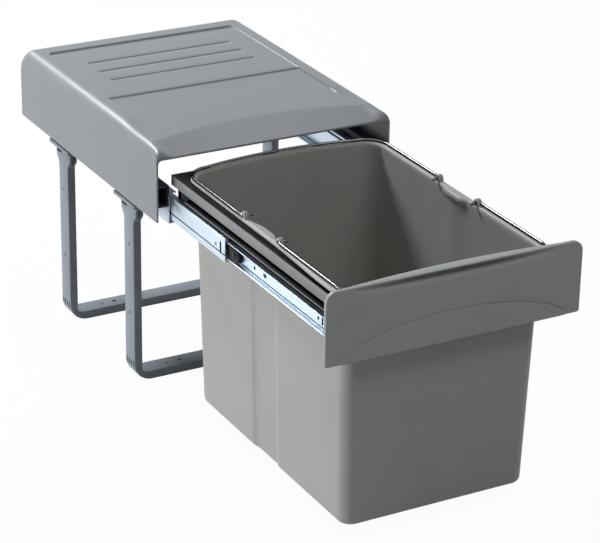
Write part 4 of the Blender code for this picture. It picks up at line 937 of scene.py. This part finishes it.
def panel_columns(half):
    """Places across the panel, dense towards its round corners."""
    right = [half - PANEL_CORNER * (1 - sine) for sine, _ in quarter(14)]
    right = [lerp(0.0, right[0], i / 34) for i in range(34)] + right
    right.insert(-1, half - COLUMN_GAP)
    return [-x for x in reversed(right[1:])] + right


def panel_heights(x, half, low, high):
    """Heights of one column of the panel's front face."""
    bottom, top = panel_ends(half, low, high, x)
    line = min(max(arch_height(x, half, low), bottom + ARC_CLEAR[0]), top - ARC_CLEAR[1])
    end = top - GRIP_HEIGHT - GRIP_LIP
    marks = [bottom + mark for mark in FOOT_MARKS]
    marks += [lerp(bottom + FOOT_MARKS[-1], line + ARC_MARKS[0], i / 8) for i in range(1, 8)]
    marks += [line + mark for mark in ARC_MARKS]
    marks += [lerp(line + ARC_MARKS[-1], end, i / 8) for i in range(1, 8)]
    marks += [lerp(end, top - GRIP_LIP - GRIP_EDGE, i / 10) for i in range(11)]
    marks += [top - GRIP_LIP - mark for mark in GRIP_MARKS]
    return marks + [top - mark for mark in TOP_MARKS]


def back_heights(x, half, low, high, count):
    """Heights of one column of the panel's back."""
    bottom, top = panel_ends(half, low, high, x)
    bulge = top - BULGE_HEIGHT
    marks = [bottom + mark for mark in FOOT_MARKS]
    marks += [lerp(bottom + FOOT_MARKS[-1], bulge + BULGE_MARKS[0], i / 10) for i in range(1, 11)]
    marks += [bulge + mark for mark in BULGE_MARKS[1:]]
    rest = count - len(marks) - len(TOP_MARKS)
    marks += [lerp(bulge + BULGE_MARKS[-1], top - PANEL_ROUND, i / rest) for i in range(1, rest + 1)]
    return marks + [top - mark for mark in TOP_MARKS]


def make_panel():
    """The front panel with its scooped grip, the arch on its face and its round edges."""
    corner_low, corner_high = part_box("front_panel")
    half, low, high = corner_high.x, corner_low.z, corner_high.z
    front = corner_low.y + ARC_STEP
    bm = bmesh.new()
    faces, backs = [], []
    for x in panel_columns(half):
        heights = panel_heights(x, half, low, high)
        faces.append([bm.verts.new((x, panel_face(x, z, half, low, high, front), z)) for z in heights])
        heights = back_heights(x, half, low, high, len(heights))
        backs.append([bm.verts.new((x, panel_back(x, z, half, low, high, front + PANEL_WALL), z))
                      for z in heights])
    bridge_rows(bm, faces)
    bridge_rows(bm, backs)
    for end in (0, -1):
        bridge(bm, faces[end], backs[end])
        bridge(bm, [column[end] for column in faces], [column[end] for column in backs])
    place_mesh("panel_plate", bm, PANEL_GREY, "carriage", ["front_panel"], 50.0)


def rounded(points, radius, steps=3):
    """A closed outline with its corners rounded."""
    made = []
    count = len(points)
    for i in range(count):
        before, spot, after = (Vector(points[(i + k) % count]) for k in (-1, 0, 1))
        reach = min(radius, (before - spot).length * 0.48, (after - spot).length * 0.48)
        first = spot + (before - spot).normalized() * reach
        second = spot + (after - spot).normalized() * reach
        for k in range(steps + 1):
            share = k / steps
            curve = first * (1 - share) ** 2 + spot * 2 * share * (1 - share) + second * share ** 2
            made.append(tuple(curve))
    return made


def groove_place(near, far, half):
    """Where a member's groove is: low on the outside of its web, or in the corner of an open channel."""
    if abs(near) > abs(far):
        return near, -half * GROOVE_SHARE
    return near + math.copysign(SHEET, far - near), SHEET + GROOVE_CORNER - half


def member_section(near, far, half, groove, lip):
    """Section of a slide member from its x range: a web on the near side and two flanges."""
    step = SHEET if far > near else -SHEET
    upper = [(near, half), (far, half)]
    if lip:
        upper += [(far, half - lip), (far - step, half - lip), (far - step, half - SHEET)]
    else:
        upper.append((far, half - SHEET))
    upper.append((near + step, half - SHEET))
    points = upper + [(x, -z) for x, z in reversed(upper)]
    if groove:
        face, z = groove_place(near, far, half)
        bottom = face + math.copysign(GROOVE_DIP, step if face == near else -step)
        deep = GROOVE_HALF_WIDTH - GROOVE_CHAMFER
        cut = [(face, z - GROOVE_HALF_WIDTH), (bottom, z - deep), (bottom, z + deep),
               (face, z + GROOVE_HALF_WIDTH)]
        if face == near:
            points += cut
        else:
            points[len(upper):len(upper)] = list(reversed(cut))
    return [(x, SLIDE_CENTRE + z) for x, z in rounded(points, SECTION_ROUND)]


def paint_groove_shade(bm, x, z):
    """Paint shade into a member's groove: its faces take the second, black material."""
    for face in bm.faces:
        middle = face.calc_center_median()
        level = middle.z - SLIDE_CENTRE - z
        near = abs(middle.x - x) < GROOVE_DIP + GROOVE_SLACK and abs(level) < GROOVE_HALF_WIDTH
        if near and abs(face.normal.y) < 0.5:
            face.material_index = 1


def hole_cutter(web, front, holes):
    """Prisms for the round and the long holes in a member's web."""
    cutter = bmesh.new()
    for y, half_length, half_height in holes:
        radius = min(half_length, half_height)
        outline = []
        for along, up, start in ((1, -1, -90), (1, 1, 0), (-1, 1, 90), (-1, -1, 180)):
            centre = (front + y + along * (half_length - radius),
                      SLIDE_CENTRE + up * (half_height - radius))
            outline += arc(centre, radius, start + 1, start + 89, 6)
        add_prism(cutter, "X", outline, web - HOLE_CUT, web + HOLE_CUT)
    return cutter


def add_end_tabs(bm, side, half, front):
    """The two tabs bent over at the front end of the intermediate member."""
    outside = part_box("right_intermediate_slide")[1].x - SHEET
    xs = sorted((side * outside, side * (outside - TAB_REACH)))
    ys = (front + TAB_SETBACK, front + TAB_SETBACK + TAB_SHEET)
    for level in (-1, 1):
        zs = sorted(SLIDE_CENTRE + level * (half - gone) for gone in (SHEET, SHEET + TAB_HEIGHT))
        add_box(bm, xs, ys, zs, TAB_ROUND)


def make_member(side, node, web_outside, groove, holes=(), lip=0.0):
    """One slide member, with its rounded sheet section, its holes and, where it has a groove, painted shade
    in it.
    """
    low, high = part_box(node)
    half = (high.z - low.z) / 2
    outer, inner = (high.x, low.x) if side > 0 else (low.x, high.x)
    near, far = (outer, inner) if web_outside else (inner, outer)
    bm = bmesh.new()
    add_prism(bm, "Y", member_section(near, far, half, groove, lip), low.y, high.y)
    if holes:
        bm = carve(bm, hole_cutter(near, low.y, holes))
    # The groove's faces are painted black as shade in the groove.
    if groove:
        paint_groove_shade(bm, *groove_place(near, far, half))
    if web_outside and groove:
        add_end_tabs(bm, side, half, low.y)
    piece = place_mesh(f"{node}_member", bm, ZINC, NODES[node]["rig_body"], [node], 40.0)
    piece.data.materials.append(BLACK)


def make_slides():
    """The three members of each slide."""
    for side, word in SIDES:
        make_member(side, f"{word}_outer_slide", True, False, lip=OUTER_LIP)
        make_member(side, f"{word}_intermediate_slide", True, True, MIDDLE_HOLES)
        make_member(side, f"{word}_inner_slide", False, True, INNER_HOLES)


def make_small_pieces():
    """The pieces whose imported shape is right: the same form with rounded edges."""
    for _, word in SIDES:
        for name, *look in SIDE_PIECES:
            refined(f"{word}_{name}", *look)
    for node in sorted(NODES):
        if "screw" in node:
            refined(node, SCREW, "screw_steel", SCREW_ROUND)


def frame_route():
    """Outer and inner places of a floor frame's half, from the top of the leg to the middle of the bar."""
    inner = LEG_OUTER - LEG_WALL
    heights = [HEAD_BOTTOM - i * HEAD_STEP for i in range(24)]
    heights += [lerp(heights[-1], FOOT_ROUND, i / 12) for i in range(1, 12)]
    pairs = [((LEG_OUTER, z), (inner, z)) for z in heights]
    outside = arc((LEG_OUTER - FOOT_ROUND, FOOT_ROUND), FOOT_ROUND, 0, -90, 14)
    inside = arc((inner - FOOT_INSIDE, BAR_HEIGHT + FOOT_INSIDE), FOOT_INSIDE, 0, -90, 14)
    pairs += list(zip(outside, inside))
    for i in range(1, 12):
        share = 1 - i / 11
        pairs.append((((LEG_OUTER - FOOT_ROUND) * share, 0.0), ((inner - FOOT_INSIDE) * share, BAR_HEIGHT)))
    return pairs


def frame_section(outer, inner, front, rear):
    """The rounded section of a floor frame at one place of its route."""
    start, end = (Vector((x, 0.0, z)) for x, z in (outer, inner))
    across = (end - start).normalized()
    points = []
    for corner, y, first in ((start, front, 180), (end, front, 270), (end, rear, 0), (start, rear, 90)):
        inward = across if corner is start else -across
        depth = 1 if y == front else -1
        centre = corner + inward * FRAME_EDGE
        for place in arc((0.0, 0.0), FRAME_EDGE, first, first + 90, 3):
            points.append(centre + across * place[0] + Vector((0.0, y + depth * FRAME_EDGE + place[1], 0.0)))
    return points


def outer_range(side, depth):
    """Range in x of a cut into the outside of a leg."""
    return sorted((side * (LEG_OUTER - depth), side * (LEG_OUTER + CUT_OVERRUN)))


def frame_cutter(front):
    """The holes, the notches and the pockets of a floor frame."""
    cutter = bmesh.new()
    middle = front + FRAME_DEPTH / 2
    rear = front + FRAME_DEPTH
    for side, _ in SIDES:
        for share in LEG_HOLES:
            outline = circle((middle, HEAD_BOTTOM * share), LEG_HOLE_RADIUS)
            add_prism(cutter, "X", outline, *outer_range(side, LEG_HOLE_DEPTH))
        for place in NOTCHES:
            ys = (front + place - NOTCH_HALF, front + place + NOTCH_HALF)
            add_prism(cutter, "X", rectangle(ys, NOTCH_HEIGHTS), *outer_range(side, NOTCH_DEPTH))
        for inset, radius in FLOOR_HOLES:
            spot = (side * (LEG_OUTER - LEG_WALL - inset), middle)
            add_prism(cutter, "Z", circle(spot, radius), -CUT_OVERRUN, BAR_HEIGHT + CUT_OVERRUN)
        ys = [rear + place for place in HEAD_SLOT]
        zs = [HEAD_BOTTOM - drop for drop in HEAD_SLOT_HEIGHTS]
        add_prism(cutter, "X", rectangle(ys, zs), *outer_range(side, POCKET_DEPTH))
        xs = sorted((side * (LEG_OUTER - POCKET_WALL), side * (LEG_OUTER - LEG_WALL + POCKET_WALL)))
        for ys in ((front - POCKET_OVERRUN, front - FLARE_REACH + POCKET_DEPTH),
                   (rear + FLARE_REACH - POCKET_DEPTH, rear + POCKET_OVERRUN)):
            add_prism(cutter, "Z", rectangle(xs, ys), HEAD_BOTTOM - POCKET_HEIGHT, HEAD_BOTTOM - POCKET_WALL)
    return cutter


def make_floor_frame(word, front):
    """A floor frame: a U of round-edged plastic with flared heads and a plate on top of each leg."""
    half = frame_route()
    rear = front + FRAME_DEPTH
    bm = bmesh.new()
    loops = []
    for outer, inner in half + [((-a[0], a[1]), (-b[0], b[1])) for a, b in reversed(half[:-1])]:
        flare = 0.0
        if outer[1] > FOOT_ROUND:
            share = (outer[1] - HEAD_BOTTOM + FLARE_START) / (FLARE_START - FLARE_END)
            flare = FLARE_REACH * smoothstep(share)
        section = frame_section(outer, inner, front - flare, rear + flare)
        loops.append([bm.verts.new(point) for point in section])
    bridge_rows(bm, loops, closed=True)
    cap_ends(bm, loops)
    bm = carve(bm, frame_cutter(front))
    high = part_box(f"{word}_floor_frame")[1]
    for side, _ in SIDES:
        xs = sorted((side * PLATE_INNER, side * high.x))
        ys = (front - PLATE_AHEAD, rear + PLATE_BEHIND)
        add_box(bm, xs, ys, (HEAD_BOTTOM - PLATE_SINK, HEAD_BOTTOM + HEAD_PLATE), PLATE_ROUND)
        xs = sorted((side * (LEG_OUTER - LEG_WALL), side * LEG_OUTER))
        add_box(bm, xs, (front, rear), (HEAD_BOTTOM, high.z), POST_ROUND)
    place_mesh(f"{word}_frame_moulding", bm, FRAME_GREY, "base",
               [f"{word}_floor_frame"], 35.0)


def make_carrier():
    """The carrier: a grey ring, black webs with a grey rib, and its upward faces black as painted shade."""
    piece = refined("carrier_frame", CARRIER_GREY, "carrier_plastic", CARRIER_ROUND)
    piece.data.materials.append(BLACK)
    skirt_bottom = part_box("carrier_frame")[1].z - CARRIER_SKIRT
    for face in piece.data.polygons:
        z = face.center.z
        on_rib = CARRIER_RIB[0] <= z <= CARRIER_RIB[1] and abs(face.center.x) > CARRIER_RIB_FROM
        # Faces below the skirt, off the rib, take the black material; upward faces take it too, as painted
        # shade.
        if (z < skirt_bottom and not on_rib) or face.normal.z > 0.9:
            face.material_index = 1
    for vertex in piece.data.vertices:
        if CARRIER_RIB_TOP[0] < vertex.co.z < CARRIER_RIB_TOP[1] and abs(vertex.co.x) > CARRIER_RIB_FROM:
            vertex.co.z -= CARRIER_RIB_SINK
        if vertex.co.z < CARRIER_FOOT:
            vertex.co.z += CARRIER_RAISE


def make_camera():
    """The camera, from its place and its three angles."""
    yaw, pitch, roll = (math.radians(angle) for angle in (CAMERA_YAW, CAMERA_PITCH, CAMERA_ROLL))
    ahead = Vector((math.sin(yaw) * math.cos(pitch), math.cos(yaw) * math.cos(pitch), -math.sin(pitch)))
    right = Vector((math.cos(yaw), -math.sin(yaw), 0.0))
    up = right.cross(ahead)
    turned_right = right * math.cos(roll) + up * math.sin(roll)
    turned_up = up * math.cos(roll) - right * math.sin(roll)
    data = bpy.data.cameras.new("camera")
    data.sensor_width = SENSOR
    data.lens = FOCAL_PIXELS / FRAME_WIDTH * SENSOR
    data.clip_end = CAMERA_REACH
    camera = add_object("camera", data)
    rotation = Matrix((turned_right, turned_up, -ahead)).transposed()
    camera.matrix_world = Matrix.Translation(CAMERA_PLACE) @ rotation.to_4x4()
    bpy.context.scene.camera = camera


def seeing_ray(tree):
    """1 for the rays that see the studio, and 0 for those that light the part."""
    path = add_node(tree, "LightPath")
    value = path.outputs[SEEING_RAYS[0]]
    for name in SEEING_RAYS[1:]:
        either = add_node(tree, "Math")
        either.operation = "MAXIMUM"
        tree.links.new(value, either.inputs[0])
        tree.links.new(path.outputs[name], either.inputs[1])
        value = either.outputs[0]
    return value


def mix_shaders(tree, first, second):
    """A mix of two shader nodes, half and half until its factor is set."""
    mix = add_node(tree, "MixShader")
    tree.links.new(first.outputs[0], mix.inputs[1])
    tree.links.new(second.outputs[0], mix.inputs[2])
    return mix


def make_world():
    """A white studio that lights the part only a little by itself."""
    world = bpy.data.worlds.new("studio")
    world.use_nodes = True
    tree = world.node_tree
    tree.nodes.clear()
    soft = add_node(tree, "Background", {"Color": AMBIENT_COLOUR, "Strength": AMBIENT_STRENGTH})
    white = add_node(tree, "Background", {"Color": WHITE, "Strength": 1.0})
    mix = mix_shaders(tree, soft, white)
    tree.links.new(seeing_ray(tree), mix.inputs[0])
    tree.links.new(mix.outputs[0], add_node(tree, "OutputWorld").inputs["Surface"])
    bpy.context.scene.world = world


def make_floor():
    """A plain pale floor that shows white to the camera and keeps a faint shadow of the part."""
    bm = bmesh.new()
    span = (-FLOOR_HALF, FLOOR_HALF)
    bm.faces.new([bm.verts.new((x, y, 0.0)) for x, y in rectangle(span, span)])
    mesh = mesh_of("floor", bm)
    made = bpy.data.materials.new("floor_pale")
    made.use_nodes = True
    tree = made.node_tree
    tree.nodes.clear()
    matte = add_node(tree, "BsdfDiffuse", {"Color": FLOOR_MATTE})
    bright = add_node(tree, "BsdfDiffuse", {"Color": FLOOR_BRIGHT})
    seen = mix_shaders(tree, bright, add_node(tree, "Emission", {"Strength": 1.0}))
    seen.inputs[0].default_value = FLOOR_GLOW
    mix = mix_shaders(tree, matte, seen)
    tree.links.new(seeing_ray(tree), mix.inputs[0])
    tree.links.new(mix.outputs[0], add_node(tree, "OutputMaterial").inputs["Surface"])
    mesh.materials.append(made)
    floor = add_object("floor", mesh)


def area_light(name, place, target, size, power, colour):
    """A soft rectangular lamp that points at the target."""
    data = bpy.data.lights.new(name, "AREA")
    data.shape = "RECTANGLE"
    data.size, data.size_y = size
    data.energy = power
    data.color = colour
    lamp = add_object(name, data)
    lamp.location = place
    direction = Vector(target) - Vector(place)
    lamp.rotation_euler = direction.to_track_quat("-Z", "Y").to_euler()


make_cover()
make_bin()
for bail in BAILS:
    make_bail(*bail)
make_panel()
make_slides()
make_small_pieces()
for word in ("front", "rear"):
    make_floor_frame(word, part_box(f"{word}_floor_frame")[0].y + PLATE_AHEAD)
make_carrier()
make_camera()
make_world()
make_floor()
for lamp in LAMPS:
    area_light(*lamp)
bpy.context.scene.view_settings.view_transform = "Standard"
